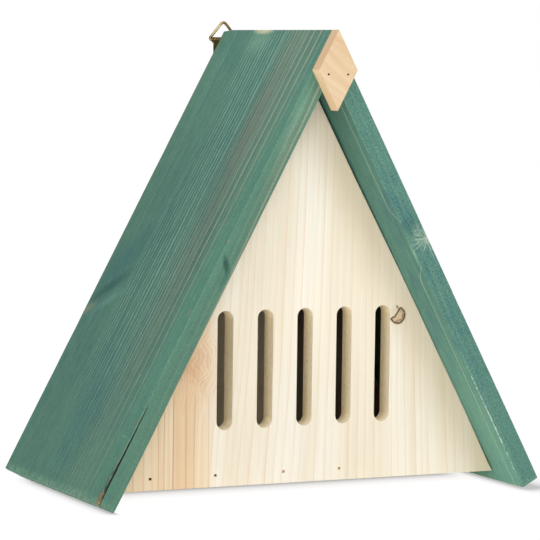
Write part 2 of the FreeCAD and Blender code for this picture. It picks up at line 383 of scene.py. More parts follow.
@dataclass(frozen=True)
class StainedBoard:
    """Translucent green stain on one roof board, with that board's own grain and marks.

    A zone is a range of distances from the pith and the width of its fading ends. The pith is given back
    from the front edge and into the wood. The lower end's fringe runs between two places down the slope,
    and the marks' ragged edges have a fineness along, back and into the wood.
    """

    name: str
    side: Side
    pith: Pair
    wander: float
    ring_width: float
    fine_zone: Triple
    fine_strength: float
    warm_zone: Triple
    rings: tuple[Ring, ...]
    marks: tuple[Mark, ...]
    seed: float
    sawn_edge: float
    ridge_painted_light: float
    inner_painted_light: float = 0.0
    star: Optional[Star] = None
    crack: Optional[Crack] = None
    fringe_zone: Pair = (300.0, 304.6)
    mark_grain: Triple = (0.35, 0.7, 0.7)
    base: str = "537E6E"
    deep: str = "44716B"
    gully: str = "3A6660"
    fresh: str = "5B8974"
    pale: str = "86AB9A"
    warm: str = "AFA38F"
    brown: str = "4E6351"
    bare: str = "8A7350"
    dark: str = "262219"
    fringe: str = "8DB294"

    def build(self, roof: Roof) -> bpy.types.Material:
        """Make the material.

        Args:
            roof: The roof, for the place and slope of the board.

        Returns:
            The finished material.
        """
        finish = Finish(self.name)
        g = finish.graph
        place = self._board_space(finish, roof)
        u, v, w = g.split(place)
        colour = self._tone(g, u, v, w)
        colour, lines = self._grain(g, colour, u, self._radius(g, u, v, w))
        for mark in self.marks:
            colour = g.mix(self._mask(g, mark, place), colour, tint(mark.colour))
        if self.star is not None:
            colour = self._starred(g, colour, self.star, u, v, w)
        streak = g.noise(g.join(u / 60, v * 0.5, w * 0.5 + self.seed), 2.0, 0.6)
        fibre = g.noise(g.join(u / 9, v * 1.3, w * 1.3 + self.seed), 3.0, 0.7)
        speck = g.noise(g.join(u * 0.8, v * 0.9, w * 0.9 + self.seed), 2.0, 0.8)
        sawn = g.rise(v, 0.9, 0.2)
        shade = 1.0 + (streak - 0.5) * 0.16 + (fibre - 0.5) * (0.80 - sawn * 0.40)
        # painted light: the stain is made lighter towards the ridge
        shade = shade + (speck - 0.5) * (0.80 + sawn * self.sawn_edge) + g.rise(u, 130, 0) * self.ridge_painted_light
        # painted shade and light: the sawn front edge a little darker, the inner face lighter
        shade = shade - sawn * 0.05 + g.rise(w, 11.3, 11.9) * self.inner_painted_light
        colour = g.scaled(colour, shade)
        if self.crack is not None:
            colour = self._cracked(g, colour, self.crack, u, v, w)
        colour = self._wear(finish, colour, u, v, w)
        relief = lines * 0.4 + fibre * 0.6 + speck * (0.2 + sawn * 0.6)
        roughness = 0.66 + (speck - 0.5) * 0.2 - lines * 0.06
        return finish.close(colour, roughness, relief, 0.12 * MM, gloss=0.12)

    def _board_space(self, finish: Finish, roof: Roof) -> Value:
        """Measure along the slope, back from the front edge and into the wood.

        Args:
            finish: Finish of the board.
            roof: The roof, for the place and slope of the board.

        Returns:
            The place on the board, in millimetres.
        """
        turn = math.pi + roof.pitch
        high = roof.ridge_z / MM
        location = (math.sin(roof.pitch) * high, -roof.front_y / MM, math.cos(roof.pitch) * high)
        return finish.place(location, (0, turn, 0), (-self.side.value / MM, 1 / MM, 1 / MM))

    def _radius(self, g: Graph, u: Value, v: Value, w: Value) -> Value:
        """Distance from the pith of the tree, which wanders along the board.

        Args:
            g: Graph of the finish.
            u, v, w: Place on the board.

        Returns:
            The distance in millimetres.
        """
        slow = g.noise(g.join(u / 90, v / 60, w / 40 + self.seed), 1.0)
        back, deep = v - self.pith[0], w - self.pith[1]
        return g.math("SQRT", back * back + deep * deep) - u * self.wander + (slow - 0.5) * 3.0

    def _tone(self, g: Graph, u: Value, v: Value, w: Value) -> Value:
        """Uneven stain: bluish where it soaked in, greener where it was wiped.

        Args:
            g: Graph of the finish.
            u, v, w: Place on the board.

        Returns:
            The stain's colour.
        """
        cloud = g.noise(g.join(u / 70, v / 38, w / 20 + self.seed), 2.0)
        patch = g.noise(g.join(u / 13 + self.seed, v / 6, w / 5), 3.0, 0.65)
        soaked = g.rise(cloud * 0.45 + patch * 0.55, 0.46, 0.66)
        wiped = g.rise(cloud * 0.5 + patch * 0.5, 0.50, 0.32)
        return g.mix(wiped * 0.45, g.mix(soaked * 0.7, tint(self.base), tint(self.deep)), tint(self.fresh))

    def _grain(self, g: Graph, colour: Value, u: Value, radius: Value) -> tuple[Value, Value]:
        """Growth rings: fine pale lines, and warm lines where the stain hardly took.

        Args:
            g: Graph of the finish.
            colour: The stain's colour.
            u: Place along the slope.
            radius: Distance from the pith.

        Returns:
            The colour with the lines, and how much of a line each place is.
        """
        jitter = g.noise(g.join(radius / 11 + self.seed, u / 400, 0.0), 1.0)
        turns = (radius + (jitter - 0.5) * 6.0) / self.ring_width
        share = g.math("FRACT", turns)
        late = g.rise(share, 0.60, 0.84) * g.rise(share, 1.0, 0.93)
        early = g.rise(share, 0.34, 0.04)
        each = g.noise(g.join(g.math("FLOOR", turns) * 0.77 + self.seed, u / 160, 0.0), 1.0)
        low, high, fade = self.fine_zone
        fine = (0.16 + g.between(radius, low, high, fade) * 0.84) * g.rise(each, 0.20, 0.62)
        broken = g.noise(g.join(u / 34, radius * 0.9, self.seed), 2.0, 0.6)
        dashes = g.noise(g.join(u / 5, radius * 0.6, self.seed), 2.0, 0.7)
        fine = fine * (0.30 + broken * 0.7 + g.rise(dashes, 0.35, 0.65) * 0.5) * self.fine_strength
        fine = fine * (0.30 + g.rise(u, 290, 150) * 0.70)
        colour = g.mix(early * fine * 0.9, colour, tint(self.gully))
        colour = g.mix(late * fine, colour, tint(self.pale))
        low, high, fade = self.warm_zone
        zone = g.between(radius, low, high, fade)
        colour = g.mix(zone * g.rise(u, 240, 0) * 0.20, colour, tint(self.brown))
        lines = late * fine
        for ring in self.rings:
            line = g.near(radius, ring.radius, 1.0) * ring.strength * (0.3 + broken * 0.8 + dashes * 0.6)
            shade = g.near(radius, ring.radius - 1.3, 1.2) * ring.strength
            colour = g.mix(shade * 0.45, colour, tint(self.brown))
            pale = g.mix(ring.warmth, tint(self.pale), tint(self.warm))
            colour = g.mix(line * g.rise(u, 420, 60), colour, pale)
            lines = lines + line
        return colour, lines

    def _starred(self, g: Graph, colour: Value, star: Star, u: Value, v: Value, w: Value) -> Value:
        """A knot on the front edge: pale hairs that spread from it, and lines that bend away round it.

        Args:
            g: Graph of the finish.
            colour: Colour of the board so far.
            star: The knot.
            u, v, w: Place on the board.

        Returns:
            The colour with the knot.
        """
        along, deep = u - star.place, w - star.deep
        front = g.rise(v, 1.5, 0.2)
        main = self._burst(g, along, deep, star.reach, 0.0)
        small = self._burst(g, along - star.second_step, w - star.second_deep, star.second_reach, 3.1)
        hairs = g.math("MAXIMUM", main, small * 0.6) * front
        colour = g.mix(hairs * 0.85, colour, tint(star.hair))
        far = g.math("SQRT", along * along + deep * deep)
        colour = g.mix(g.rise(far, star.core_reach, 0.4) * front * 0.55, colour, tint(star.core))
        below = g.rise(along, star.trail_length, 2) * g.rise(along, -1, 1)
        trail = g.near(w, star.trail_deep + along * 0.02, 0.55) * below * front
        colour = g.mix(trail * 0.6, colour, tint(star.trail))
        away = g.rise(along, -26, -14) * g.rise(along, 24, 10)
        line = g.near(v, star.line_back + g.rise(along, 12, 32) * 1.5 - away * star.line_bend, 0.6)
        return g.mix(line * g.rise(w, 11.0, 11.8) * 0.75, colour, tint(star.hook))

    def _burst(self, g: Graph, along: Value, deep: Value, reach: float, turn: float) -> Value:
        """Hairs that spread from a point on the front edge.

        Args:
            g: Graph of the finish.
            along: Distance from the point down the slope.
            deep: Distance from the point into the wood.
            reach: Length of the hairs.
            turn: Sets one burst apart from another.

        Returns:
            How much of a hair each place is.
        """
        far = g.math("SQRT", along * along + deep * deep)
        angle = g.math("ARCTAN2", along, deep)
        hair = g.noise(g.join(angle * 4.5, far * 0.12, self.seed + turn), 3.0, 0.75)
        return g.rise(far, reach, reach * 0.1) * g.rise(hair, 0.46, 0.66)

    def _cracked(self, g: Graph, colour: Value, crack: Crack, u: Value, v: Value, w: Value) -> Value:
        """A ragged crack down the outer front arris, with a bare lip and chips at its lower end.

        Args:
            g: Graph of the finish.
            colour: Colour of the board so far.
            crack: The crack.
            u, v, w: Place on the board.

        Returns:
            The colour with the crack.
        """
        start = crack.start
        bend = g.noise(g.join(u / 8, self.seed, 0.0), 3.0, 0.6)
        rag = g.noise(g.join(u / 2.4, v / 1.6, w / 1.6 + 4.0), 3.0, 0.65)
        run = g.rise(u, start, start + crack.length)
        across = w - v - crack.inset + (bend - 0.5) * 2.0
        half = crack.least + run * crack.gape
        open_here = g.rise(u, start - 4, start + 8)
        lip = g.near(across + half + 0.2, 0.0, 0.7) * g.rise(bend, 0.40, 0.56) * open_here
        colour = g.mix(lip * 0.75, colour, tint(crack.lip))
        dark = g.rise(abs(across) / half + (rag - 0.5), 1.05, 0.55) * open_here
        fork = start + crack.fork
        aside = across + g.near(u, fork, 10.0) * 2.2
        branch = g.rise(abs(aside) / 0.5 + (rag - 0.5), 1.0, 0.4) * g.between(u, fork - 6, fork + 7, 3.0)
        colour = g.mix(g.math("MAXIMUM", dark, branch) * 0.88, colour, tint(crack.dark))
        chips = start + crack.chips
        end = g.rise(u, chips, chips + 7) * g.rise(across, -5.0, -2.6) * g.rise(across, 1.2, 0.0)
        colour = g.mix(end * g.rise(rag, 0.36, 0.50) * 0.8, colour, tint(crack.torn))
        return g.mix(end * g.rise(rag, 0.56, 0.66) * 0.8, colour, tint(crack.chip))

    def _mask(self, g: Graph, mark: Mark, place: Value) -> Value:
        """How much of a mark shows at a place.

        Args:
            g: Graph of the finish.
            mark: The mark.
            place: Place on the board.

        Returns:
            A number from 0 to the mark's strength.
        """
        offset = g.value("ShaderNodeVectorMath", {"operation": "SUBTRACT"}, {0: place, 1: mark.middle})
        if any(mark.lean):
            along, back, deep = g.split(offset)
            offset = g.join(along - back * mark.lean[0] - deep * mark.lean[1], back, deep)
        inverse = tuple(1 / reach for reach in mark.reach)
        shrunk = g.value("ShaderNodeVectorMath", {"operation": "MULTIPLY"}, {0: offset, 1: inverse})
        far = g.value("ShaderNodeVectorMath", {"operation": "LENGTH"}, {0: shrunk}, "Value")
        fine = g.value("ShaderNodeVectorMath", {"operation": "MULTIPLY"}, {0: place, 1: self.mark_grain})
        edge = g.noise(fine, 2.0, 0.6)
        return g.rise(far + (edge - 0.5) * mark.ragged, 1.0, 1.0 - mark.fade) * mark.strength

    def _wear(self, finish: Finish, colour: Value, u: Value, v: Value, w: Value) -> Value:
        """Stain rubbed off the arrises, and bare or dark wood where the board is split.

        Args:
            finish: Finish of the board.
            colour: Colour of the board so far.
            u, v, w: Place on the board.

        Returns:
            The colour with the wear.
        """
        g = finish.graph
        chips = g.noise(g.join(u * 0.30, v * 0.5, w * 0.5 + self.seed), 3.0, 0.65)
        rubbed = finish.attribute("arris") * g.rise(chips, 0.46, 0.66)
        colour = g.mix(rubbed * 0.35, colour, tint(self.pale))
        teeth = g.noise(g.join(u / 4, v * 0.8, w * 0.8 + self.seed), 3.0, 0.7)
        toothed = g.rise(u, *self.fringe_zone) * g.rise(teeth, 0.40, 0.60)
        colour = g.mix(toothed * (0.20 + g.rise(v, 0.6, 2.0) * 0.40), colour, tint(self.fringe))
        colour = g.mix(finish.attribute("bare") * g.rise(chips, 0.42, 0.60) * 0.8, colour, tint(self.bare))
        return g.mix(g.rise(finish.attribute("split"), 0.05, 0.5), colour, tint(self.dark))


LEFT_STAIN = StainedBoard(
    name="left_board_stain", side=Side.LEFT, pith=(-20.0, -40.0), wander=0.018, ring_width=3.5,
    fine_zone=(78.0, 122.0, 9.0), fine_strength=1.05, warm_zone=(54.0, 80.0, 8.0), seed=3.7, sawn_edge=0.0,
    ridge_painted_light=0.20, crack=Crack(243.0),
    rings=(
        Ring(52.0, 0.7, 0.9), Ring(58.0, 0.85, 0.85), Ring(63.6, 0.75, 0.9), Ring(66.0, 0.4, 0.6),
        Ring(68.2, 0.6, 0.75), Ring(72.0, 0.7, 0.7), Ring(74.4, 0.4, 0.5), Ring(76.6, 0.65, 0.55),
        Ring(80.2, 0.45, 0.35), Ring(83.2, 0.5, 0.3), Ring(88.5, 0.5, 0.15), Ring(129.0, 0.35, 0.0),
        Ring(155.0, 0.3, 0.1), Ring(159.0, 0.25, 0.0), Ring(48.2, 0.2, 0.2),
    ),
    marks=(
        Mark((0, 92, 0), (4.0, 17, 3), "D3CFA6", 0.9, 0.75, 1.1),
        Mark((8, 92, 0), (12.0, 20, 3), "7FA792", 0.4, 0.9, 1.0),
        Mark((163, 130, 0), (27, 38, 6), "41706B", 0.70, 0.95, 0.4, (0.55, 0)),
        Mark((180, 131, 0), (8.0, 33, 5), "2F5652", 0.75, 0.95, 0.6, (0.55, 0)),
        Mark((196, 146, 0), (5, 13, 4), "8A8C74", 0.65, 0.9, 0.5, (0.45, 0)),
        Mark((187, 120, 0), (5.5, 26, 4), "6FA293", 0.36, 0.9, 0.9, (0.55, 0)),
        Mark((50, 149, 0), (260, 9, 8), "5F8064", 0.45, 0.9, 0.3),
        Mark((260, 76, 0), (60, 22, 6), "3C6B6E", 0.25, 0.95, 0.7),
        Mark((170, 0, 6), (230, 1.2, 14), "608069", 0.42, 0.6, 0.2),
        Mark((170, 9, 0), (190, 20, 5), "639A80", 0.45, 0.9, 0.3),
        Mark((150.5, 0, 6.0), (4.4, 1.8, 5.4), "2C4F43", 0.85, 0.8, 0.5, (0, 1.0)),
        Mark((158, 0, 8.5), (9, 1.8, 4.0), "3F6A5C", 0.60, 0.9, 0.4),
        Mark((138, 0, 0.6), (1.3, 1.2, 0.8), "A08560", 0.6, 0.8, 0.4),
        Mark((58, 0, 4.5), (28, 2, 3.5), "8BA48D", 0.3, 0.95, 0.6),
        Mark((45, 26, 0), (110, 34, 6), "7FA590", 0.20, 0.95, 0.4),
        Mark((80, 0, 7), (40, 1.5, 3.0), "A9A488", 0.15, 0.9, 0.6),
        Mark((300, 30, 0), (110, 40, 5), "6A9580", 0.35, 0.95, 0.4),
        Mark((184, 3.6, 0), (4.5, 1.0, 1.5), "B39C78", 0.7, 0.8, 0.5),
        Mark((70, 44, 0), (105, 17, 6), "66645C", 0.34, 0.9, 0.6),
        Mark((110, 52, 0), (45, 24, 5), "4C7A70", 0.38, 0.95, 0.4),
        Mark((229, 41, 0), (4.0, 1.6, 2), "3A5346", 0.6, 0.9, 0.6),
        Mark((264, 8, 0), (0.7, 6, 2), "9FBFA9", 0.35, 0.9, 1.0),
        # painted shade: dark on the inner face, inside the house behind the front panel
        Mark((150, 96, 12), (400, 52, 3), "2C463E", 0.6, 0.1, 0.0),
    ),
)

RIGHT_STAIN = StainedBoard(
    name="right_board_stain", side=Side.RIGHT, pith=(46.0, -60.0), wander=0.010, ring_width=4.1,
    fine_zone=(86.0, 120.0, 9.0), fine_strength=0.50, warm_zone=(92.0, 104.0, 6.0), seed=11.3, sawn_edge=0.9,
    ridge_painted_light=0.0, inner_painted_light=0.16, star=Star(138.0), base="5A8577", deep="477376", fresh="608A79",
    rings=(
        Ring(66.0, 0.25, 0.4), Ring(94.0, 0.5, 0.8), Ring(99.0, 0.5, 0.7), Ring(104.5, 0.4, 0.5),
    ),
    marks=(
        Mark((126, 0, 7), (9, 2.5, 8), "365E5C", 0.44, 0.95, 0.5),
        Mark((151, 0, 8), (7, 2.5, 5), "3E6A66", 0.26, 0.95, 0.5),
        Mark((133, 8, 12), (12, 7, 3), "3F6E66", 0.35, 0.95, 0.5),
        Mark((143, 1.2, 12), (13, 1.8, 2), "93BC9C", 0.7, 0.9, 0.5),
        # painted shade: darker high on the inner face, towards the ridge
        Mark((40, 20, 12), (90, 30, 4), "3C6457", 0.35, 0.95, 0.3),
        Mark((291, 29, 12), (4.5, 2.2, 2), "6E6B42", 0.7, 0.8, 0.5),
        # painted light: lighter low on the inner face, near the floor
        Mark((290, 15, 12), (150, 38, 4), "7BAC94", 0.34, 0.95, 0.3),
        Mark((258, 0, 12), (36, 0.6, 0.5), "DCE5DA", 0.65, 0.6, 3.0),
        # painted shade: dark on the inner face, inside the house behind the front panel
        Mark((150, 96, 12), (400, 52, 3), "22362F", 0.75, 0.1, 0.0),
        # medium green at the lower end, where the painted inner shade is lifted
        Mark((306, 90, 12), (9, 70, 4), "5E8C78", 0.85, 0.4, 0.1),
    ),
)


@dataclass(frozen=True)
class Knot:
    """A knot in a panel: its place across and up, its radius, and how dark it is."""

    x: float
    z: float
    radius: float
    dark: float


@dataclass(frozen=True)
class HalfMoon:
    """A small loose knot, bounded by a circle and cut off by two chords.

    The circle's middle, the chords and a nick are measured across and up from the knot's place; a chord is a
    point on it and the way into the knot. The colours go from the outside in.
    """

    x: float
    z: float
    middle: Pair = (1.4, -1.4)
    radius: float = 5.0
    rim: float = 4.75
    seam: float = 3.4
    chords: tuple[tuple[float, float, float, float], ...] = (
        (3.2, 3.25, 0.82, -0.574), (-3.2, -3.3, 0.412, -0.911),
    )
    nick: Pair = (1.1, 3.6)
    ring: str = "D9B98C"
    inside: str = "CDAE7E"
    mottle: str = "95744A"
    bark: str = "4A2C12"


@dataclass(frozen=True)
class BarePine:
    """Planed bare softwood with upright grain that runs round its knots.

    The heart is the place across where tan heartwood ends. Its lines and its bold stripe lie at steps from
    there. The grain fans out from a middle and a height. The right edge is the distance of a panel's sloping
    side from the origin, and the way it faces, across and up.
    """

    name: str
    seed: float
    knots: tuple[Knot, ...] = ()
    heart: Optional[float] = None
    half_moon: Optional[HalfMoon] = None
    face_y: Optional[float] = None
    base: str = "EEE3CE"
    pale: str = "F4EDDE"
    line: str = "E3BE92"
    warm: str = "F0D8B6"
    amber: str = "E5C197"
    knot: str = "C98F63"
    cut: str = "FFF0CE"
    torn: str = "CFAE7C"
    edge_shade_tint: str = "F2D9B8"
    heart_line: str = "B98A5E"
    halo: str = "E9C4A0"
    curl: str = "CF9F75"
    dusk: str = "4A3C28"
    ring_width: float = 5.3
    heart_lines: tuple[Pair, ...] = (
        (-49.0, 0.4), (-42.0, 0.3), (-33.0, 0.45), (-29.5, 0.5),
        (-23.6, 0.7), (-15.5, 0.5), (-10.2, 0.45), (-1.0, 0.3),
    )
    bold_step: float = -23.8
    fan: float = 0.0004
    fan_middle: float = 0.0
    fan_z: float = 60.0
    fan_edge: Pair = (-78.0, -40.0)
    right_edge: Triple = (117.5, 0.881, 0.473)
    low_zone: Pair = (120.0, 30.0)
    low_painted_shade: float = 0.055
    middle_reach: float = 70.0
    middle_painted_shade: float = 0.035
    top_zone: Pair = (170.0, 225.0)
    top_painted_light: float = 0.07
    painted_shade_y: Optional[float] = None
    turn: Triple = (0, 0, 0)

    def build(self) -> bpy.types.Material:
        """Make the material.

        Returns:
            The finished material.
        """
        finish = Finish(self.name)
        g = finish.graph
        x, y, z = g.split(finish.place(turn=self.turn))
        across = self._flow(g, x, z)
        drift = g.noise(g.join(x / 30, z / 150, self.seed), 1.0)
        fan = (z - self.fan_z) * (x - self.fan_middle) * g.rise(x, *self.fan_edge) * self.fan
        across = across + fan + (drift - 0.5) * 3.0 + y * 0.35
        jitter = g.noise(g.join(across / 11 + self.seed, z / 700, 0.0), 1.0)
        turns = (across + (jitter - 0.5) * 9.0) / self.ring_width
        share = g.math("FRACT", turns)
        each = g.noise(g.join(g.math("FLOOR", turns) * 0.63 + self.seed, z / 300, 0.0), 1.0)
        soft = g.rise(share, 0.40, 0.95) * 0.42 + g.rise(share, 0.80, 0.93) * 0.58
        late = soft * g.rise(share, 1.0, 0.955) * g.rise(each, 0.24, 0.70)
        band = g.noise(g.join(across / 19 + self.seed, z / 260, y / 30), 1.0)
        fibre = g.noise(g.join(x * 2.1, y * 2.1, z / 22 + self.seed), 3.0, 0.6)
        colour = g.mix(g.rise(band, 0.36, 0.62), tint(self.pale), tint(self.base))
        strength: Number = 0.5
        if self.heart is not None:
            colour, strength = self._heartwood(g, colour, x, z, across)
        colour = g.mix(late * strength, colour, tint(self.line))
        for knot in self.knots:
            colour = self._knotted(g, colour, knot, x, z, across)
        if self.face_y is not None:
            # painted shade colour: a warm tint on the front panel beside the right roof board, where its
            # shade falls
            reach, out_x, out_z = self.right_edge
            gap = reach - x * out_x - z * out_z
            colour = g.mix(g.rise(gap, 34, 2) * 0.55, colour, tint(self.edge_shade_tint))
            colour = self._cut_walls(g, colour, x, y - self.face_y, z)
        if self.half_moon is not None:
            on_face = g.rise(y, self.face_y + 0.5, self.face_y + 0.3)
            colour = g.mix(on_face, colour, self._moon(g, colour, self.half_moon, x, z))
        # painted shade: the back panel's inner face is darkened on its right, inside the house
        if self.painted_shade_y is not None:
            dusk = g.rise(y, self.painted_shade_y + 0.6, self.painted_shade_y + 0.1) * g.rise(x, 18, 50)
            colour = g.mix(dusk * 0.8, colour, tint(self.dusk))
        grime = g.noise(g.join(x / 9, y / 9, z / 30 + self.seed), 3.0, 0.6)
        hairs = g.noise(g.join(x * 1.1, y * 1.1, z / 90 + self.seed), 2.0, 0.6)
        shade = 1.0 + (fibre - 0.5) * 0.10 + (grime - 0.5) * 0.06 + (hairs - 0.5) * 0.16
        # painted shade low on the panel, strongest in the middle, and painted light near its top
        dim = self.low_painted_shade + g.near(x, 0.0, self.middle_reach) * self.middle_painted_shade
        shade = shade - g.rise(z, *self.low_zone) * dim + g.rise(z, *self.top_zone) * self.top_painted_light
        colour = g.scaled(colour, shade)
        relief = fibre * 0.6 + late * 0.4
        return finish.close(colour, 0.60 + (fibre - 0.5) * 0.2, relief, 0.05 * MM, gloss=0.25)

    def _flow(self, g: Graph, x: Value, z: Value) -> Value:
        """Place across the grain, where lines part and run round each knot.

        Args:
            g: Graph of the finish.
            x, z: Place across and up.

        Returns:
            The place across, in millimetres.
        """
        across = x
        for knot in self.knots:
            dx = x - knot.x
            dz = (z - knot.z) * 0.7
            square = dx * dx + dz * dz
            across = across - dx * (0.5 * knot.radius ** 2) / (square + knot.radius ** 2)
            curl = g.noise(g.join(x / 15, z / 11, self.seed + knot.x), 0.6, 0.5)
            halo = g.rise(g.math("SQRT", square) / knot.radius, 2.6, 0.6)
            across = across + (curl - 0.5) * halo * knot.radius * knot.dark
        return across

    def _heartwood(self, g: Graph, colour: Value, x: Value, z: Value, across: Value) -> tuple[Value, Value]:
        """Tan heartwood on the left, in upright stripes.

        Args:
            g: Graph of the finish.
            colour: Colour of the wood so far.
            x, z: Place across and up.
            across: Place across the grain.

        Returns:
            The colour with the heartwood, and the strength of the grain's lines.
        """
        edge = g.noise(g.join(x / 8, z / 60, self.seed), 2.0)
        inside = g.rise(x + (edge - 0.5) * 7.0, self.heart + 5.0, self.heart - 8.0)
        stripe = g.noise(g.join(across / 4.4 + 5.2, z / 400, self.seed), 2.0)
        left = self.heart + self.bold_step
        bold = g.rise(x, left, left + 0.8) * g.rise(x, left + 16.8, left + 1.8)
        stripe = g.rise(stripe, 0.40, 0.66) * 0.55 + bold * 0.65
        colour = g.mix(inside * 0.9, colour, g.mix(stripe, tint(self.warm), tint(self.amber)))
        lines: Number = 0.0
        for step, strength in self.heart_lines:
            lines = lines + g.near(x + (edge - 0.5) * 1.2, self.heart + step, 0.75) * strength
        colour = g.mix(lines * g.rise(z, 68, 56), colour, tint(self.heart_line))
        return colour, 0.5 + inside * 0.3

    def _knotted(self, g: Graph, colour: Value, knot: Knot, x: Value, z: Value, across: Value) -> Value:
        """Warmer wood in and round a knot, with close lines that curl past it.

        Args:
            g: Graph of the finish.
            colour: Colour of the wood so far.
            knot: The knot.
            x, z: Place across and up.
            across: Place across the grain.

        Returns:
            The colour with the knot.
        """
        dx = x - knot.x
        dz = (z - knot.z) * 0.75
        curl = g.noise(g.join(x / 7, z / 9, self.seed), 3.0, 0.6)
        far = g.math("SQRT", dx * dx + dz * dz) / knot.radius + (curl - 0.5) * 1.6
        wave = g.rise(g.math("SINE", across * 3.3), -0.2, 1.0)
        halo = g.rise(far, 2.0, 0.5) * knot.dark
        colour = g.mix(halo * 0.45, colour, tint(self.halo))
        colour = g.mix(halo * wave * 0.34, colour, tint(self.curl))
        return g.mix(g.rise(far, 0.75, 0.1) * knot.dark * 0.40, colour, tint(self.knot))

    def _moon(self, g: Graph, colour: Value, moon: HalfMoon, x: Value, z: Value) -> Value:
        """A small loose knot, outlined in bark like a half moon.

        Args:
            g: Graph of the finish.
            colour: Colour of the wood so far.
            moon: The knot.
            x, z: Place across and up.

        Returns:
            The colour with the knot.
        """
        dx = x - moon.x
        dz = z - moon.z
        wob = g.noise(g.join(x / 2.2, z / 2.2, self.seed), 3.0, 0.6)
        steep, level = ((dx - x0) * in_x + (dz - z0) * in_z for x0, z0, in_x, in_z in moon.chords)
        chord = g.math("MAXIMUM", steep, level) + (wob - 0.5) * 0.9
        off_x, off_z = dx - moon.middle[0], dz - moon.middle[1]
        far = g.math("SQRT", off_x * off_x + off_z * off_z) + (wob - 0.5) * 1.1
        inside = g.rise(far, moon.radius, moon.radius - 0.3) * g.rise(chord, -0.1, 0.2)
        rim = g.near(far, moon.rim, 1.1) * g.rise(chord, -0.6, 0.1)
        flat = g.near(chord, 0.0, 0.9) * g.rise(far, moon.radius + 0.2, moon.radius - 0.2)
        seam = g.near(far, moon.seam, 0.6) * g.rise(dx, 0.5, 3.0) * inside * 0.45
        colour = g.mix(g.rise(far, moon.radius + 2.5, moon.radius - 0.5) * 0.25, colour, tint(moon.ring))
        colour = g.mix(inside * 0.6, colour, tint(moon.inside))
        colour = g.mix(inside * g.rise(wob, 0.48, 0.66) * 0.7, colour, tint(moon.mottle))
        nick_x, nick_z = dx - moon.nick[0], dz - moon.nick[1]
        slant = nick_x * 0.87 + nick_z * 0.5
        run = nick_x * 0.5 - nick_z * 0.87
        nick = g.near(slant, 0.0, 0.9) * g.near(run, 0.0, 2.0)
        bark = g.math("MAXIMUM", g.math("MAXIMUM", rim, flat), g.math("MAXIMUM", seam, nick))
        return g.mix(bark, colour, tint(moon.bark))

    def _cut_walls(self, g: Graph, colour: Value, x: Value, depth: Value, z: Value) -> Value:
        """Paler, rougher wood on the walls that the router left, with torn streaks; the near-white paleness
        is partly painted light.

        Args:
            g: Graph of the finish.
            colour: Colour of the wood so far.
            x: Place across.
            depth: Distance behind the face.
            z: Place up.

        Returns:
            The colour with the cut walls.
        """
        rough = g.noise(g.join(x * 0.5, depth * 0.9, z * 0.35 + self.seed), 4.0, 0.7)
        chatter = g.noise(g.join(x * 0.3, depth * 0.5, z * 1.4 + self.seed), 3.0, 0.7)
        # paler cut wood, and painted light: the walls are made almost white
        colour = g.mix(g.rise(depth, 0.5, 1.2) * 0.95, colour, tint(self.cut))
        torn = g.rise(rough * 0.5 + chatter * 0.5, 0.50, 0.62)
        return g.mix(g.rise(depth, 0.5, 2.0) * torn * 0.45, colour, tint(self.torn))


FRONT_PINE = BarePine(
    "front_pine", 2.4, knots=(Knot(-71.5, 79.0, 13.0, 0.9), Knot(62.7, 104.2, 7.0, 0.16)),
    heart=-61.0, half_moon=HalfMoon(60.7, 105.9), face_y=-42.3, fan=0.0011, fan_middle=35.0,
)
BACK_PINE = BarePine("back_pine", 7.9, knots=(Knot(38.0, 150.0, 7.0, 0.9), Knot(-52.0, 60.0, 5.0, 0.8)),
                     base="E9D6B2", pale="F0E2C6", painted_shade_y=65.7)
FLOOR_PINE = BarePine("floor_pine", 15.1, turn=(0, math.pi / 2, 0), base="E6D0A9", pale="EDDCBC")


@dataclass(frozen=True)
class PeachWood:
    """Sanded bare wood of the diamond, its grain running down to the right."""

    name: str = "diamond_wood"
    slant: float = math.radians(53)
    face_y: float = -81.3
    middle_z: float = 251.7
    base: str = "D6B790"
    pale: str = "DDC4A2"
    line: str = "CBA57A"
    upper_side: str = "D2A070"
    lower_side: str = "DCAF80"
    side_tint: float = 0.35
    upper_painted_light: float = 0.14
    lower_painted_light: float = 0.36
    seed: float = 4.2

    def build(self) -> bpy.types.Material:
        """Make the material.

        Returns:
            The finished material.
        """
        finish = Finish(self.name)
        g = finish.graph
        x, y, z = g.split(finish.place(turn=(0, self.slant, 0)))
        drift = g.noise(g.join(x / 14, y / 20, z / 30 + self.seed), 1.0)
        across = x + (drift - 0.5) * 6.0 + y * 0.5
        band = g.noise(g.join(across / 3.4 + self.seed, z / 90, y / 12), 2.0)
        fibre = g.noise(g.join(x * 2.4, y * 2.4, z / 10 + self.seed), 3.0, 0.6)
        colour = g.mix(g.rise(band, 0.34, 0.72), tint(self.pale), tint(self.base))
        rings = g.rise(g.math("SINE", across * 2.6 + band * 9.0), 0.2, 1.0)
        colour = g.mix(g.rise(band, 0.54, 0.76) * 0.16 + rings * 0.14, colour, tint(self.line))
        edge = g.noise(g.join(x * 0.6, y * 3.0, z * 0.6 + self.seed), 2.0)
        # painted light: the sides are lightened and tinted, the lower side more than the upper, for how light
        # falls on them
        side = g.rise(y, self.face_y + 0.2, self.face_y + 0.6)
        upper = g.rise(g.split(finish.place())[2], self.middle_z - 1, self.middle_z + 1)
        colour = g.mix(side * upper * self.side_tint, colour, tint(self.upper_side))
        colour = g.mix(side * (1 - upper) * self.side_tint, colour, tint(self.lower_side))
        light = side * (self.lower_painted_light + upper * (self.upper_painted_light - self.lower_painted_light))
        colour = g.scaled(colour, 1.0 + (fibre - 0.5) * 0.10 + (edge - 0.5) * 0.04 + light)
        return finish.close(colour, 0.55 + (fibre - 0.5) * 0.2, fibre, 0.05 * MM, gloss=0.3)


@dataclass(frozen=True)
class Coat:
    """Bright coating left on some pieces: its colour, and where it starts and is full, across and down."""

    colour: str
    across: Pair
    down: Pair
    strength: float = 0.8


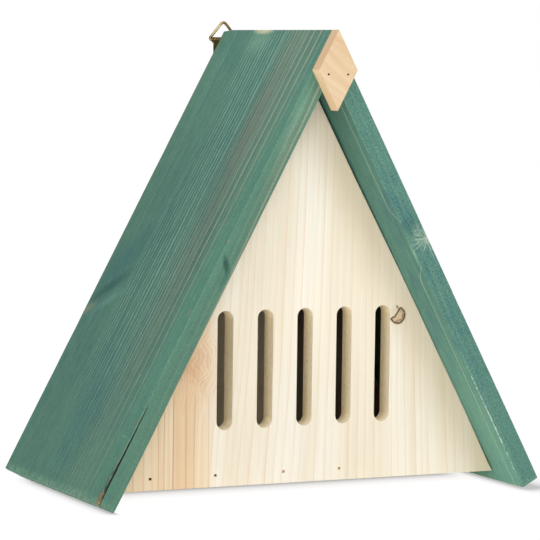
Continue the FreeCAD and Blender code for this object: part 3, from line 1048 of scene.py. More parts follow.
@dataclass(frozen=True)
class Metal:
    """Old metal: bright where it is rubbed, dark and dull elsewhere."""

    name: str
    bright: str
    dull: str
    rough: float
    grain: float
    seed: float
    coat: Optional[Coat] = None

    def build(self) -> bpy.types.Material:
        """Make the material.

        Returns:
            The finished material.
        """
        finish = Finish(self.name)
        g = finish.graph
        x, y, z = g.split(finish.place())
        stain = g.noise(g.join(x * self.grain, y * self.grain, z * self.grain + self.seed), 4.0, 0.65)
        pits = g.noise(g.join(x * 4, y * 4, z * 4 + self.seed), 3.0, 0.6)
        worn = g.rise(stain, 0.36, 0.64)
        colour = g.mix(worn, tint(self.dull), tint(self.bright))
        if self.coat is not None:
            kept = g.rise(x, *self.coat.across) * g.rise(z, *self.coat.down)
            colour = g.mix(kept * self.coat.strength, colour, tint(self.coat.colour))
        roughness = self.rough + (1 - worn) * 0.25 + (pits - 0.5) * 0.15
        return finish.close(colour, roughness, pits, 0.02 * MM, metallic=1.0)


BRASS = Metal("antique_brass", "C2B288", "76643F", 0.26, 0.35, 6.1)
DARK_BRASS = Metal("browned_brass", "6C5838", "483823", 0.36, 1.3, 2.7)
STEEL = Metal("brad_steel", "4E3424", "20140D", 0.6, 1.6, 9.4,
              coat=Coat("E0B878", across=(-85.0, -15.0), down=(100.0, 60.0)))


class GeometryGroup(Graph):
    """A Geometry Nodes tree with named inputs."""

    def __init__(self, name: str) -> None:
        """Start a tree that takes and gives geometry.

        Args:
            name: Name of the tree.
        """
        tree = bpy.data.node_groups.new(name, "GeometryNodeTree")
        super().__init__(tree)
        self.entry = self.node("NodeGroupInput")
        self.keys: dict[str, str] = {}
        self.start = self.input("Geometry", "NodeSocketGeometry")
        tree.interface.new_socket("Geometry", in_out="OUTPUT", socket_type="NodeSocketGeometry")

    def input(self, name: str, kind: str = "NodeSocketFloat") -> Value:
        """Add a named input.

        Args:
            name: What the input is called.
            kind: Blender's name of the socket's type.

        Returns:
            The input, for use in the tree.
        """
        item = self.tree.interface.new_socket(name, in_out="INPUT", socket_type=kind)
        self.keys[name] = item.identifier
        return Value(self, self.entry.outputs[name])

    def output(self, geometry: Value) -> None:
        """Realize instances, set the material and end the tree.

        Args:
            geometry: What the tree made.
        """
        plain = self.value("GeometryNodeRealizeInstances", inputs={"Geometry": geometry})
        material = self.input("Material", "NodeSocketMaterial")
        dressed = self.value("GeometryNodeSetMaterial", inputs={"Geometry": plain, "Material": material})
        self.node("NodeGroupOutput", inputs={0: dressed})

    def run(self, name: str, source: bpy.types.Mesh, values: dict[str, Any]) -> bpy.types.Object:
        """Run the tree on a mesh.

        Args:
            name: Name of the piece.
            source: Mesh that the tree starts from.
            values: Values of the named inputs.

        Returns:
            A new object whose mesh is the plain result.
        """
        piece = new_object(name, source)
        modifier = piece.modifiers.new("Shape", "NODES")
        modifier.node_group = self.tree
        for key, given in values.items():
            modifier[self.keys[key]] = given
        graph = bpy.context.evaluated_depsgraph_get()
        plain = bpy.data.meshes.new_from_object(piece.evaluated_get(graph))
        plain.materials.clear()
        plain.materials.append(values["Material"])
        plain.polygons.foreach_set("material_index", [0] * len(plain.polygons))
        piece.modifiers.clear()
        piece.data = plain
        plain.name = name
        return piece


def new_object(name: str, data: bpy.types.ID) -> bpy.types.Object:
    """Add an object to the scene.

    Args:
        name: Name of the object.
        data: Its mesh, light or camera.

    Returns:
        The new object.
    """
    piece = bpy.data.objects.new(name, data)
    bpy.context.scene.collection.objects.link(piece)
    return piece


def hand_over(piece: bpy.types.Object, body: Body, slot: Slot, *nodes: str) -> None:
    """Give a finished piece to the frame.

    Args:
        piece: The piece, in place.
        body: Body that it moves with.
        slot: Record's slot for its finish; not used.
        nodes: CAD nodes that it stands for.
    """
    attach(piece, body.value)
    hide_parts(*nodes)
    log.info("%s: %d faces, on %s", piece.name, len(piece.data.polygons), body.value)


def smooth(mesh: bpy.types.Mesh, angle: float, broad: float = 20 * MM ** 2) -> None:
    """Shade smooth, with sharp edges kept sharp and broad faces kept flat.

    Args:
        mesh: Mesh to shade.
        angle: Least angle of a sharp edge, in degrees.
        broad: Least area of a broad face.
    """
    mesh.set_sharp_from_angle(angle=math.radians(angle))
    mesh.polygons.foreach_set("use_smooth", [face.area < broad for face in mesh.polygons])


def line_mesh(name: str, loops: Sequence[Loop]) -> bpy.types.Mesh:
    """Mesh of closed lines only.

    Args:
        name: Name of the mesh.
        loops: Points of each line, in the XY plane.

    Returns:
        The mesh.
    """
    points: list[Triple] = []
    edges: list[tuple[int, int]] = []
    for loop in loops:
        first = len(points)
        points.extend((x, y, 0.0) for x, y in loop)
        edges.extend((first + i, first + i + 1) for i in range(len(loop) - 1))
        edges.append((first + len(loop) - 1, first))
    mesh = bpy.data.meshes.new(name)
    mesh.from_pydata(points, edges, [])
    return mesh


def solids_of(node: str) -> list[np.ndarray]:
    """Corner points of each separate solid in a CAD node.

    Args:
        node: CAD node.

    Returns:
        An array of points in metres for each solid, in order of their middles.
    """
    shape = bmesh.new()
    shape.from_mesh(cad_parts[node].data)
    bmesh.ops.remove_doubles(shape, verts=shape.verts, dist=0.001 * MM)
    left = set(shape.verts)
    solids = []
    while left:
        island, edge = set(), [left.pop()]
        while edge:
            vert = edge.pop()
            island.add(vert)
            for link in vert.link_edges:
                other = link.other_vert(vert)
                if other in left:
                    left.remove(other)
                    edge.append(other)
        solids.append(np.array([vert.co[:] for vert in island]))
    shape.free()
    return sorted(solids, key=lambda points: tuple(points.mean(0).round(5)))


def eased_copy(node: str, name: str, width: float, material: bpy.types.Material) -> bpy.types.Object:
    """Copy of a CAD node with merged faces and eased edges.

    Args:
        node: CAD node.
        name: Name of the copy.
        width: Width of the easing, in metres.
        material: Its finish.

    Returns:
        The new object.
    """
    shape = bmesh.new()
    shape.from_mesh(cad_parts[node].data)
    bmesh.ops.remove_doubles(shape, verts=shape.verts, dist=0.002 * MM)
    bmesh.ops.dissolve_limit(shape, angle_limit=math.radians(0.5), verts=shape.verts, edges=shape.edges)
    sharp = [edge for edge in shape.edges
             if len(edge.link_faces) == 2 and edge.calc_face_angle() > math.radians(40)]
    bmesh.ops.bevel(shape, geom=sharp, offset=width, segments=2, profile=0.5, affect="EDGES",
                    clamp_overlap=True)
    mesh = bpy.data.meshes.new(name)
    shape.to_mesh(mesh)
    shape.free()
    mesh.materials.append(material)
    smooth(mesh, 40)
    return new_object(name, mesh)


def wobble(*place: float) -> float:
    """Fixed smooth noise from -1 to 1."""
    return perlin.noise(Vector((list(place) + [0.5, 0.5, 0.5])[:3]))


def skin(counts: tuple[int, int, int]) -> tuple[np.ndarray, np.ndarray]:
    """Skin of a lattice of points.

    Args:
        counts: Number of points along each of the three directions.

    Returns:
        The lattice places on the skin, and quads that face outwards.
    """
    grid = np.stack(np.meshgrid(*[np.arange(n) for n in counts], indexing="ij"), -1)
    last = np.array(counts) - 1
    on_skin = ((grid == 0) | (grid == last)).any(-1)
    number = np.full(counts, -1)
    number[on_skin] = np.arange(on_skin.sum())
    quads = []
    for axis in range(3):
        for end in (0, -1):
            sheet = np.moveaxis(number, axis, 0)[end]
            ring = [sheet[:-1, :-1], sheet[1:, :-1], sheet[1:, 1:], sheet[:-1, 1:]]
            if (end == 0) != (axis == 1):
                ring.reverse()
            quads.append(np.stack(ring, -1).reshape(-1, 4))
    return grid[on_skin], np.concatenate(quads)


@dataclass
class RoofBoard:
    """One roof board as a dense skin, with worn arrises and, on the left, a split along its front.

    Lengths are in millimetres.
    """

    roof: Roof
    side: Side
    ease: float = 0.25
    worn_ease: float = 0.45
    end_ease: float = 0.62
    end_start: float = 12.0
    end_run: float = 10.0
    arris_reach: float = 0.9
    step: float = 3.0
    close_lines: tuple[float, ...] = (0.0, 0.12, 0.3, 0.62, 1.05)
    split_start: float = 240.0
    split_depth: float = 2.6
    split_line: float = 1.4
    split_lip: float = 1.8
    split_half_width: float = 0.35
    chip_length: float = 9.0
    chip_back: float = 7.0
    chip_deep: float = 2.5
    chip_drop: float = 1.5
    corner_along: float = 1.1
    corner_back: float = 12.0
    corner_fade: float = 8.0
    torn_depth: float = 0.5
    torn_reach: float = 1.2

    def lines(self, length: float) -> np.ndarray:
        """Lattice lines along one direction, closer together at both ends.

        Args:
            length: Length of the board in that direction.

        Returns:
            Places of the lines.
        """
        ends = np.array(self.close_lines)
        count = max(2, round(length / self.step))
        inner = np.linspace(ends[-1], length - ends[-1], count + 1)
        return np.concatenate([ends[:-1], inner, (length - ends[:-1])[::-1]])

    def build(self, material: bpy.types.Material) -> bpy.types.Object:
        """Make the board.

        Args:
            material: Its finish.

        Returns:
            The new object.
        """
        along = self.lines(self.roof.length / MM)
        back = self.lines(self.roof.depth / MM)
        deep = np.concatenate([self.lines(self.roof.thickness / MM), [self.split_line, self.split_lip]])
        deep.sort()
        places, quads = skin((len(along), len(back), len(deep)))
        u, v, w = along[places[:, 0]], back[places[:, 1]], deep[places[:, 2]]
        marks = self._attributes(u, v, w)
        u, v, w = self._rounded(u, v, w)
        if self.side is Side.LEFT:
            u, v, w, marks["split"], marks["bare"] = self._split(u, v, w)
        u, v, w = self._nibbled(u, v, w)
        mesh = bpy.data.meshes.new(f"{self.side.name.lower()}_board")
        points = self._placed(u, v, w)
        faces = quads if self.side is Side.LEFT else quads[:, ::-1]
        mesh.from_pydata(points.tolist(), [], faces.tolist())
        for name, values in marks.items():
            mesh.attributes.new(name, "FLOAT", "POINT").data.foreach_set("value", values.astype(np.float32))
        mesh.materials.append(material)
        smooth(mesh, 35)
        return new_object(mesh.name, mesh)

    def _attributes(self, u: np.ndarray, v: np.ndarray, w: np.ndarray) -> dict[str, np.ndarray]:
        """How near each point is to an arris, and room for split and bare wood.

        Args:
            u, v, w: Places on the board.

        Returns:
            Values at each point, by name.
        """
        spans = ((u, self.roof.length), (v, self.roof.depth), (w, self.roof.thickness))
        inset = np.sort(np.stack([np.minimum(p, size / MM - p) for p, size in spans], -1), -1)
        arris = np.clip(1.0 - inset[:, 1] / self.arris_reach, 0, 1)
        return {"arris": arris, "split": np.zeros_like(u), "bare": np.zeros_like(u)}

    def _rounded(self, u: np.ndarray, v: np.ndarray, w: np.ndarray) -> tuple[np.ndarray, ...]:
        """Round the arrises, more where they are worn.

        Args:
            u, v, w: Places on the board.

        Returns:
            The places after rounding.
        """
        own = self.side.value * 5.3
        wear = np.array([max(0.0, wobble(a / 19, b / 19 + own, c / 7)) for a, b, c in zip(u, v, w)])
        sizes = np.array([self.roof.length, self.roof.depth, self.roof.thickness]) / MM
        at_end = np.clip((u - sizes[0] + self.end_start) / self.end_run, 0, 1)
        radius = (self.ease + (self.end_ease - self.ease) * at_end + self.worn_ease * wear)[:, None]
        point = np.stack([u, v, w], -1)
        lowest = np.concatenate([np.zeros_like(radius), radius, radius], 1)
        core = np.clip(point, lowest, sizes - radius)
        out = point - core
        far = np.linalg.norm(out, axis=1, keepdims=True)
        moved = np.where(far > 1e-9, core + out * np.minimum(1.0, radius / np.maximum(far, 1e-9)), point)
        return moved[:, 0], moved[:, 1], moved[:, 2]

    def _split(self, u: np.ndarray, v: np.ndarray, w: np.ndarray) -> tuple[np.ndarray, ...]:
        """Open a ragged split beside the outer front arris, and break the lower corner.

        Args:
            u, v, w: Places on the board.

        Returns:
            The places after splitting, and how split and how bare each of them is.
        """
        length = self.roof.length / MM
        run = np.clip((u - self.split_start) / (length - self.split_start), 0, 1)
        gape = np.sqrt(run) * np.array([0.75 + 0.5 * wobble(a / 9, 2.2) for a in u])
        middle = np.array([self.split_line + 0.25 * wobble(a / 14, 7.7) for a in u])
        on_front = v < 0.05
        near = np.clip(1 - np.abs(w - self.split_line) / self.split_half_width, 0, 1) * on_front * (run > 0)
        w = np.where(near > 0, w + (middle - self.split_line), w)
        v = v + near * gape * self.split_depth
        chip_u = np.clip((u - (length - self.chip_length)) / self.chip_length, 0, 1)
        chip = chip_u * np.clip(1 - v / self.chip_back, 0, 1) * np.clip(1 - w / self.chip_deep, 0, 1)
        rough = np.array([0.5 + 0.5 * wobble(a / 2.3, b / 2.3, 4.4) for a, b in zip(u, v)])
        w = w + chip * rough * self.chip_drop
        return u, v, w, np.clip(near * gape * 1.3, 0, 1), np.clip(chip * 1.8, 0, 1)

    def _nibbled(self, u: np.ndarray, v: np.ndarray, w: np.ndarray) -> tuple[np.ndarray, ...]:
        """Wear the ridge's back corner, and roughen the lower end where the saw came out.

        Args:
            u, v, w: Places on the board.

        Returns:
            The places after wear.
        """
        depth = self.roof.depth / MM
        length = self.roof.length / MM
        corner = np.clip((v - (depth - self.corner_back)) / self.corner_back, 0, 1)
        u = u + corner * self.corner_along * np.clip(1 - u / self.corner_fade, 0, 1)
        torn = np.array([max(0.0, wobble(b / 3.1, c / 2.0, 9.1)) for b, c in zip(v, w)])
        u = u - torn * self.torn_depth * np.clip((u - length + self.torn_reach) / self.torn_reach, 0, 1)
        return u, v, w

    def _placed(self, u: np.ndarray, v: np.ndarray, w: np.ndarray) -> np.ndarray:
        """Points of the frame, with the ridge end cut to the mitre.

        Args:
            u, v, w: Places on the board.

        Returns:
            The points in metres.
        """
        roof = self.roof
        length = roof.length / MM
        shift = w * math.tan(roof.pitch) + roof.mitre_gap / 2 / MM / math.cos(roof.pitch)
        u = u + shift * (1 - u / length)
        x = u * math.cos(roof.pitch) - w * math.sin(roof.pitch)
        z = -u * math.sin(roof.pitch) - w * math.cos(roof.pitch)
        return np.stack([self.side.value * x * MM, roof.front_y + v * MM, roof.ridge_z + z * MM], -1)


@dataclass
class Roof:
    """Two boards of one length that meet in a mitre along the ridge."""

    length: float = 306 * MM
    thickness: float = 12 * MM
    mitre_gap: float = 0.1 * MM
    pitch: float = field(init=False)
    ridge_z: float = field(init=False)
    front_y: float = field(init=False)
    depth: float = field(init=False)

    def __post_init__(self) -> None:
        """Take the slope and the ridge from the diamond, which follows both boards."""
        low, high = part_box("ridge_diamond")
        self.pitch = math.atan2((high.z - low.z) / 2, high.x)
        self.ridge_z = high.z
        board_low, board_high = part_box("left_roof_board")
        self.front_y = board_low.y
        self.depth = board_high.y - board_low.y

    def build(self) -> None:
        """Make and dress both boards."""
        for side, stain in ((Side.LEFT, LEFT_STAIN), (Side.RIGHT, RIGHT_STAIN)):
            board = RoofBoard(self, side).build(stain.build(self))
            hand_over(board, Body.HOUSE, Slot.STAIN, f"{side.name.lower()}_roof_board")


@dataclass
class Panels:
    """The slotted front, the plain back and the floor between them.

    The right joint is the gap beside the right roof board at shares of the way down, in millimetres, and the
    clearance is that of an even joint. The wander is how far a side strays by hand, also in millimetres.
    """

    slots: int = 5
    slot_width: float = 10 * MM
    slot_length: float = 70 * MM
    slot_pitch: float = 26 * MM
    slot_rise: float = 34 * MM
    slot_climb: float = 0.16 * MM
    slot_bends: int = 10
    brad_hole: Pair = (1.8 * MM, 1.5 * MM)
    edge_step: float = 7 * MM
    floor_ease: float = 0.3 * MM
    clearance: float = 0.5
    right_joint: tuple[Pair, ...] = ((0, 1.5), (0.25, 1.3), (0.5, 0.3), (0.85, 0.12), (1, 0.9))
    left_wander: float = 0.12
    right_wander: float = 0.08

    def __post_init__(self) -> None:
        """Make the tree that both panels and the diamond share."""
        self.tree = self._pierced_board()

    def _pierced_board(self) -> GeometryGroup:
        """Fill outlines, leave a row of round-ended slots open and give the board its thickness.

        Returns:
            The tree.
        """
        tree = GeometryGroup("PiercedBoard")
        thickness = tree.input("Thickness")
        width = tree.input("Slot Width")
        length = tree.input("Slot Length")
        pitch = tree.input("Slot Pitch")
        count = tree.input("Slots", "NodeSocketInt")
        climb = tree.input("Slot Climb")
        middle = tree.input("Slot Middle")
        outline = tree.value("GeometryNodeMeshToCurve", inputs={"Mesh": tree.start})
        oblong = tree.value("GeometryNodeCurvePrimitiveQuadrilateral", {"mode": "RECTANGLE"},
                            {"Width": width, "Height": length})
        slot = tree.value("GeometryNodeFilletCurve", {"mode": "POLY"},
                          {"Curve": oblong, "Count": self.slot_bends, "Radius": width * 0.4999})
        start = tree.join((1 - count) * pitch * 0.5, middle + (1 - count) * climb * 0.5, 0.0)
        row = tree.value("GeometryNodeMeshLine", {"mode": "OFFSET"},
                         {"Count": count, "Start Location": start, "Offset": tree.join(pitch, climb, 0.0)})
        slots = tree.value("GeometryNodeInstanceOnPoints", inputs={"Points": row, "Instance": slot})
        open_slots = tree.value("GeometryNodeRealizeInstances", inputs={"Geometry": slots})
        lines = tree.value("GeometryNodeJoinGeometry", inputs={0: [outline, open_slots]})
        face = tree.value("GeometryNodeFillCurve", {"mode": "NGONS"}, {"Curve": lines})
        walls = tree.value("GeometryNodeExtrudeMesh", {"mode": "FACES"},
                           {"Mesh": face, "Offset": tree.join(0.0, 0.0, thickness * -1), "Offset Scale": 1.0,
                            "Individual": False})
        both = tree.value("GeometryNodeJoinGeometry", inputs={0: [walls, face]})
        board = tree.value("GeometryNodeMergeByDistance", inputs={"Geometry": both, "Distance": 0.001 * MM})
        tree.output(board)
        return tree

    def board(self, name: str, loops: list[Loop], front_y: float, thickness: float,
              material: bpy.types.Material, slots: int = 0, ease: float = 0.4 * MM) -> bpy.types.Object:
        """Make an upright board with its front edges eased.

        Args:
            name: Name of the piece.
            loops: Outline and holes, as points across and up.
            front_y: Place of its front face.
            thickness: Its thickness.
            material: Its finish.
            slots: Number of slots.
            ease: Width of the easing.

        Returns:
            The new object.
        """
        bottom = min(z for _, z in loops[0])
        piece = self.tree.run(name, line_mesh(name, loops), {
            "Thickness": thickness, "Slot Width": self.slot_width, "Slot Length": self.slot_length,
            "Slot Pitch": self.slot_pitch, "Slot Climb": self.slot_climb, "Slots": slots,
            "Slot Middle": bottom + self.slot_rise + self.slot_length / 2, "Material": material})
        mesh = piece.data
        mesh.transform(Matrix.Translation((0, front_y, 0)) @ Euler((math.pi / 2, 0, 0)).to_matrix().to_4x4())
        shape = bmesh.new()
        shape.from_mesh(mesh)
        bmesh.ops.recalc_face_normals(shape, faces=shape.faces)
        rim = [edge for edge in shape.edges if self._is_rim(edge, front_y)]
        bmesh.ops.bevel(shape, geom=rim, offset=ease, segments=2, profile=0.5, affect="EDGES",
                        clamp_overlap=False)
        shape.to_mesh(mesh)
        shape.free()
        smooth(mesh, 30)
        return piece

    def _is_rim(self, edge: bmesh.types.BMEdge, front_y: float) -> bool:
        """Whether an edge is on the rim of the front face, and not of a brad's hole.

        Args:
            edge: The edge.
            front_y: Place of the front face.

        Returns:
            True for an edge of the rim.
        """
        on_face = all(abs(vert.co.y - front_y) < 0.01 * MM for vert in edge.verts)
        turned = len(edge.link_faces) == 2 and edge.calc_face_angle() > math.radians(45)
        return on_face and turned and not self._in_hole(edge)

    def _in_hole(self, edge: bmesh.types.BMEdge) -> bool:
        """Whether an edge is no longer than a brad's hole and upright or level.

        Args:
            edge: The edge.

        Returns:
            True for an edge of a hole.
        """
        wide = max(self.brad_hole) + 0.02 * MM
        along = edge.verts[1].co - edge.verts[0].co
        return along.length < wide and min(abs(along.x), abs(along.z)) < 0.002 * MM

    def holes(self, node: str, share: float = 1.0) -> list[Loop]:
        """Outlines of the holes over a row of brads.

        Args:
            node: CAD node of the brads.
            share: Size of the holes as a share of the full size.

        Returns:
            Points of each outline, across and up.
        """
        half_x, half_z = self.brad_hole[0] * share / 2, self.brad_hole[1] * share / 2
        loops = []
        for points in solids_of(node):
            x, _, z = (points.min(0) + points.max(0)) / 2
            loops.append([(x - half_x, z - half_z), (x + half_x, z - half_z),
                          (x + half_x, z + half_z), (x - half_x, z + half_z)])
        return loops

    def triangle(self, node: str, fitted: bool) -> Loop:
        """Outline of a panel, cut by hand.

        Args:
            node: CAD node that it stands for.
            fitted: Whether its right side has the uneven joint of the front.

        Returns:
            Points across and up, round the panel.
        """
        low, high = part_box(node)
        drop = low.z - high.z
        slope = math.hypot(high.x, drop)
        out_x, out_z = -drop / slope, high.x / slope
        count = round(slope / self.edge_step)
        shares, gaps = zip(*self.right_joint)
        points = [(low.x, low.z)]
        for i in range(1, count):
            share = 1 - i / count
            push = self.left_wander * wobble(share * 30, 1.3) * MM
            points.append((low.x * share - out_x * push, high.z + drop * share + out_z * push))
        points.append((0.0, high.z))
        for i in range(1, count):
            share = i / count
            gap = np.interp(share, shares, gaps) if fitted else self.clearance
            push = (self.clearance - gap + self.right_wander * wobble(share * 30, 8.8)) * MM
            points.append((high.x * share + out_x * push, high.z + drop * share + out_z * push))
        points.append((high.x, low.z))
        return points

    def build(self) -> None:
        """Make and dress the front, the back and the floor."""
        low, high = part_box("front_panel")
        loops = [self.triangle("front_panel", True)] + self.holes("front_floor_brads")
        front = self.board("front_board", loops, low.y, high.y - low.y, FRONT_PINE.build(), self.slots)
        hand_over(front, Body.HOUSE, Slot.PINE, "front_panel")
        low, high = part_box("back_panel")
        loops = [self.triangle("back_panel", False)] + self.holes("back_floor_brads")
        rear = self.board("back_board", loops, low.y, high.y - low.y, BACK_PINE.build())
        hand_over(rear, Body.HOUSE, Slot.PINE, "back_panel")
        base = eased_copy("floor_board", "base_board", self.floor_ease, FLOOR_PINE.build())
        hand_over(base, Body.HOUSE, Slot.PINE, "floor_board")


@dataclass
class Diamond:
    """The small rhombus over the front of the mitre."""

    panels: Panels
    ease: float = 0.25 * MM
    hole_share: float = 0.72

    def build(self) -> None:
        """Make and dress the diamond."""
        low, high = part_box("ridge_diamond")
        middle = (low.z + high.z) / 2
        outline = [(0.0, high.z), (low.x, middle), (0.0, low.z), (high.x, middle)]
        loops = [outline] + self.panels.holes("diamond_brads", self.hole_share)
        wood = PeachWood().build()
        piece = self.panels.board("diamond", loops, low.y, high.y - low.y, wood, ease=self.ease)
        hand_over(piece, Body.HOUSE, Slot.PEACH, "ridge_diamond")


@dataclass
class Brads:
    """Rows of flat-wire brads with T heads, set by Geometry Nodes."""

    roof: Roof
    width: float = 1.3 * MM
    gauge: float = 1.05 * MM
    head: float = 2.0 * MM
    head_depth: float = 0.9 * MM
    point: float = 2.2 * MM
    tip: float = 0.3 * MM
    ease: float = 0.08 * MM

    def __post_init__(self) -> None:
        """Make the tree that sets one brad at each point."""
        tree = GeometryGroup("BradRow")
        brad = tree.input("Brad", "NodeSocketObject")
        turn = tree.input("Turn", "NodeSocketVector")
        shape = tree.value("GeometryNodeObjectInfo", inputs={"Object": brad}, output="Geometry")
        aim = tree.value("FunctionNodeEulerToRotation", inputs={0: turn})
        row = tree.value("GeometryNodeInstanceOnPoints",
                         inputs={"Points": tree.start, "Instance": shape, "Rotation": aim})
        tree.output(row)
        self.tree = tree

    def directions(self) -> dict[str, Vector]:
        """Find the way each row of brads is driven.

        Returns:
            The direction of each row, by its CAD node.
        """
        rows = {"front_floor_brads": BACK, "back_floor_brads": -BACK, "diamond_brads": BACK}
        for side in Side:
            inward = Vector((-side.value * math.sin(self.roof.pitch), 0, -math.cos(self.roof.pitch)))
            for end in ("front", "back"):
                rows[f"{side.name.lower()}_{end}_brads"] = inward
        return rows

    def one(self, length: float) -> bpy.types.Object:
        """A single brad along Z with the top of its head at the origin.

        Args:
            length: Its length.

        Returns:
            The new object.
        """
        half, neck = self.width / 2, self.head / 2
        right = [(neck, 0.0), (neck, self.head_depth), (half, self.head_depth * 1.15),
                 (half, length - self.point), (self.tip / 2, length)]
        outline = right + [(-x, z) for x, z in reversed(right)]
        shape = bmesh.new()
        face = shape.faces.new([shape.verts.new((x, -self.gauge / 2, z)) for x, z in outline])
        grown = bmesh.ops.extrude_face_region(shape, geom=[face])
        moved = [item for item in grown["geom"] if isinstance(item, bmesh.types.BMVert)]
        bmesh.ops.translate(shape, vec=(0, self.gauge, 0), verts=moved)
        bmesh.ops.recalc_face_normals(shape, faces=shape.faces)
        bmesh.ops.bevel(shape, geom=shape.edges[:], offset=self.ease, segments=1, affect="EDGES")
        mesh = bpy.data.meshes.new("one_brad")
        shape.to_mesh(mesh)
        shape.free()
        return new_object("one_brad", mesh)

    def build(self) -> None:
        """Make and dress every row."""
        steel = STEEL.build()
        for node, direction in self.directions().items():
            solids = solids_of(node)
            heights = [points @ np.array(direction) for points in solids]
            length = float(heights[0].max() - heights[0].min())
            heads = []
            for points, height in zip(solids, heights):
                middle = (points.min(0) + points.max(0)) / 2
                heads.append(Vector(middle) + direction * float(height.min() - middle @ np.array(direction)))
            mesh = bpy.data.meshes.new(node)
            mesh.from_pydata([tuple(head) for head in heads], [], [])
            brad = self.one(length)
            turn = tuple(UP.rotation_difference(direction).to_euler())
            piece = self.tree.run(f"{node}_set", mesh, {"Brad": brad, "Turn": turn, "Material": steel})
            bpy.data.objects.remove(brad)
            hand_over(piece, Body.HOUSE, Slot.STEEL, node)


@dataclass
class Hanger:
    """Strap, screw and the wire ring that swings in the strap's eye."""

    wire: float = 1.8 * MM
    side_clearance: float = 0.2 * MM
    eye_wall: float = 0.9 * MM
    corner_radius: float = 1.1 * MM
    top_radius: float = 1.6 * MM
    soft_top: float = 2.2 * MM
    bends: int = 14
    wire_sides: int = 20
    seam: float = 0.4 * MM
    ease: float = 0.12 * MM

    def ring_tree(self) -> GeometryGroup:
        """Round the corners of a path and lay wire along it.

        Returns:
            The tree.
        """
        tree = GeometryGroup("WireRing")
        wire = tree.input("Wire Radius")
        radius = tree.value("GeometryNodeInputNamedAttribute", {"data_type": "FLOAT"}, {"Name": "corner"})
        path = tree.value("GeometryNodeMeshToCurve", inputs={"Mesh": tree.start})
        bent = tree.value("GeometryNodeFilletCurve", {"mode": "POLY"},
                          {"Curve": path, "Count": self.bends, "Radius": radius})
        section = tree.value("GeometryNodeCurvePrimitiveCircle", {"mode": "RADIUS"},
                             {"Resolution": self.wire_sides, "Radius": wire})
        tube = tree.value("GeometryNodeCurveToMesh",
                          inputs={"Curve": bent, "Profile Curve": section, "Fill Caps": True})
        soft = tree.value("GeometryNodeSetShadeSmooth", inputs={"Geometry": tube})
        tree.output(soft)
        return tree

    def ring_path(self) -> bpy.types.Mesh:
        """Path of the wire from end to end, with the radius of each corner.

        Returns:
            A mesh of edges, whose points hold the radius.
        """
        low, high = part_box("hanger_ring")
        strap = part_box("hanger_plate")[1].x
        pivot = Vector((0, (low.y + high.y) / 2, low.z + self.wire / 2))
        wire_radius = self.wire / 2
        top = high.z - pivot.z - wire_radius - self.top_radius
        climb = top - wire_radius - self.eye_wall
        beside = strap + self.side_clearance
        reach = math.hypot(beside, climb)
        lean = math.acos((self.top_radius - wire_radius) / reach) - math.atan2(climb, beside)
        corner_x = (top * math.sin(lean) + self.top_radius) / math.cos(lean)
        apex_z = top + self.top_radius / math.sin(lean)
        end_x = self.seam / 2
        places = [(end_x, 0.0), (corner_x, 0.0), (0.0, apex_z), (-corner_x, 0.0), (-end_x, 0.0)]
        mesh = bpy.data.meshes.new("ring_path")
        mesh.from_pydata([tuple(pivot + Vector((x, 0, z))) for x, z in places],
                         [(i, i + 1) for i in range(len(places) - 1)], [])
        corners = [0.0, self.corner_radius, self.soft_top, self.corner_radius, 0.0]
        mesh.attributes.new("corner", "FLOAT", "POINT").data.foreach_set("value", corners)
        return mesh

    def build(self) -> None:
        """Make and dress the strap, its screw and the ring."""
        brass = BRASS.build()
        strap = eased_copy("hanger_plate", "strap", self.ease, DARK_BRASS.build())
        hand_over(strap, Body.HOUSE, Slot.BRASS, "hanger_plate")
        screw = eased_copy("hanger_screw", "strap_screw", self.ease / 2, brass)
        hand_over(screw, Body.HOUSE, Slot.BRASS, "hanger_screw")
        ring = self.ring_tree().run("wire_ring", self.ring_path(),
                                    {"Wire Radius": self.wire / 2, "Material": brass})
        hand_over(ring, Body.RING, Slot.BRASS, "hanger_ring")


@dataclass(frozen=True)
class FootShade:
    """How far shade spreads from the line on which a roof board stands, in millimetres.

    The overhang is the width beside the foot that stays as dark as the foot itself.
    """

    inward: float
    outward: float
    ahead: float
    overhang: float


@dataclass(frozen=True)
class Lamp:
    """A square soft light: where it stands, the length of its side and its power in watts."""

    name: str
    place: Triple
    size: float
    power: float


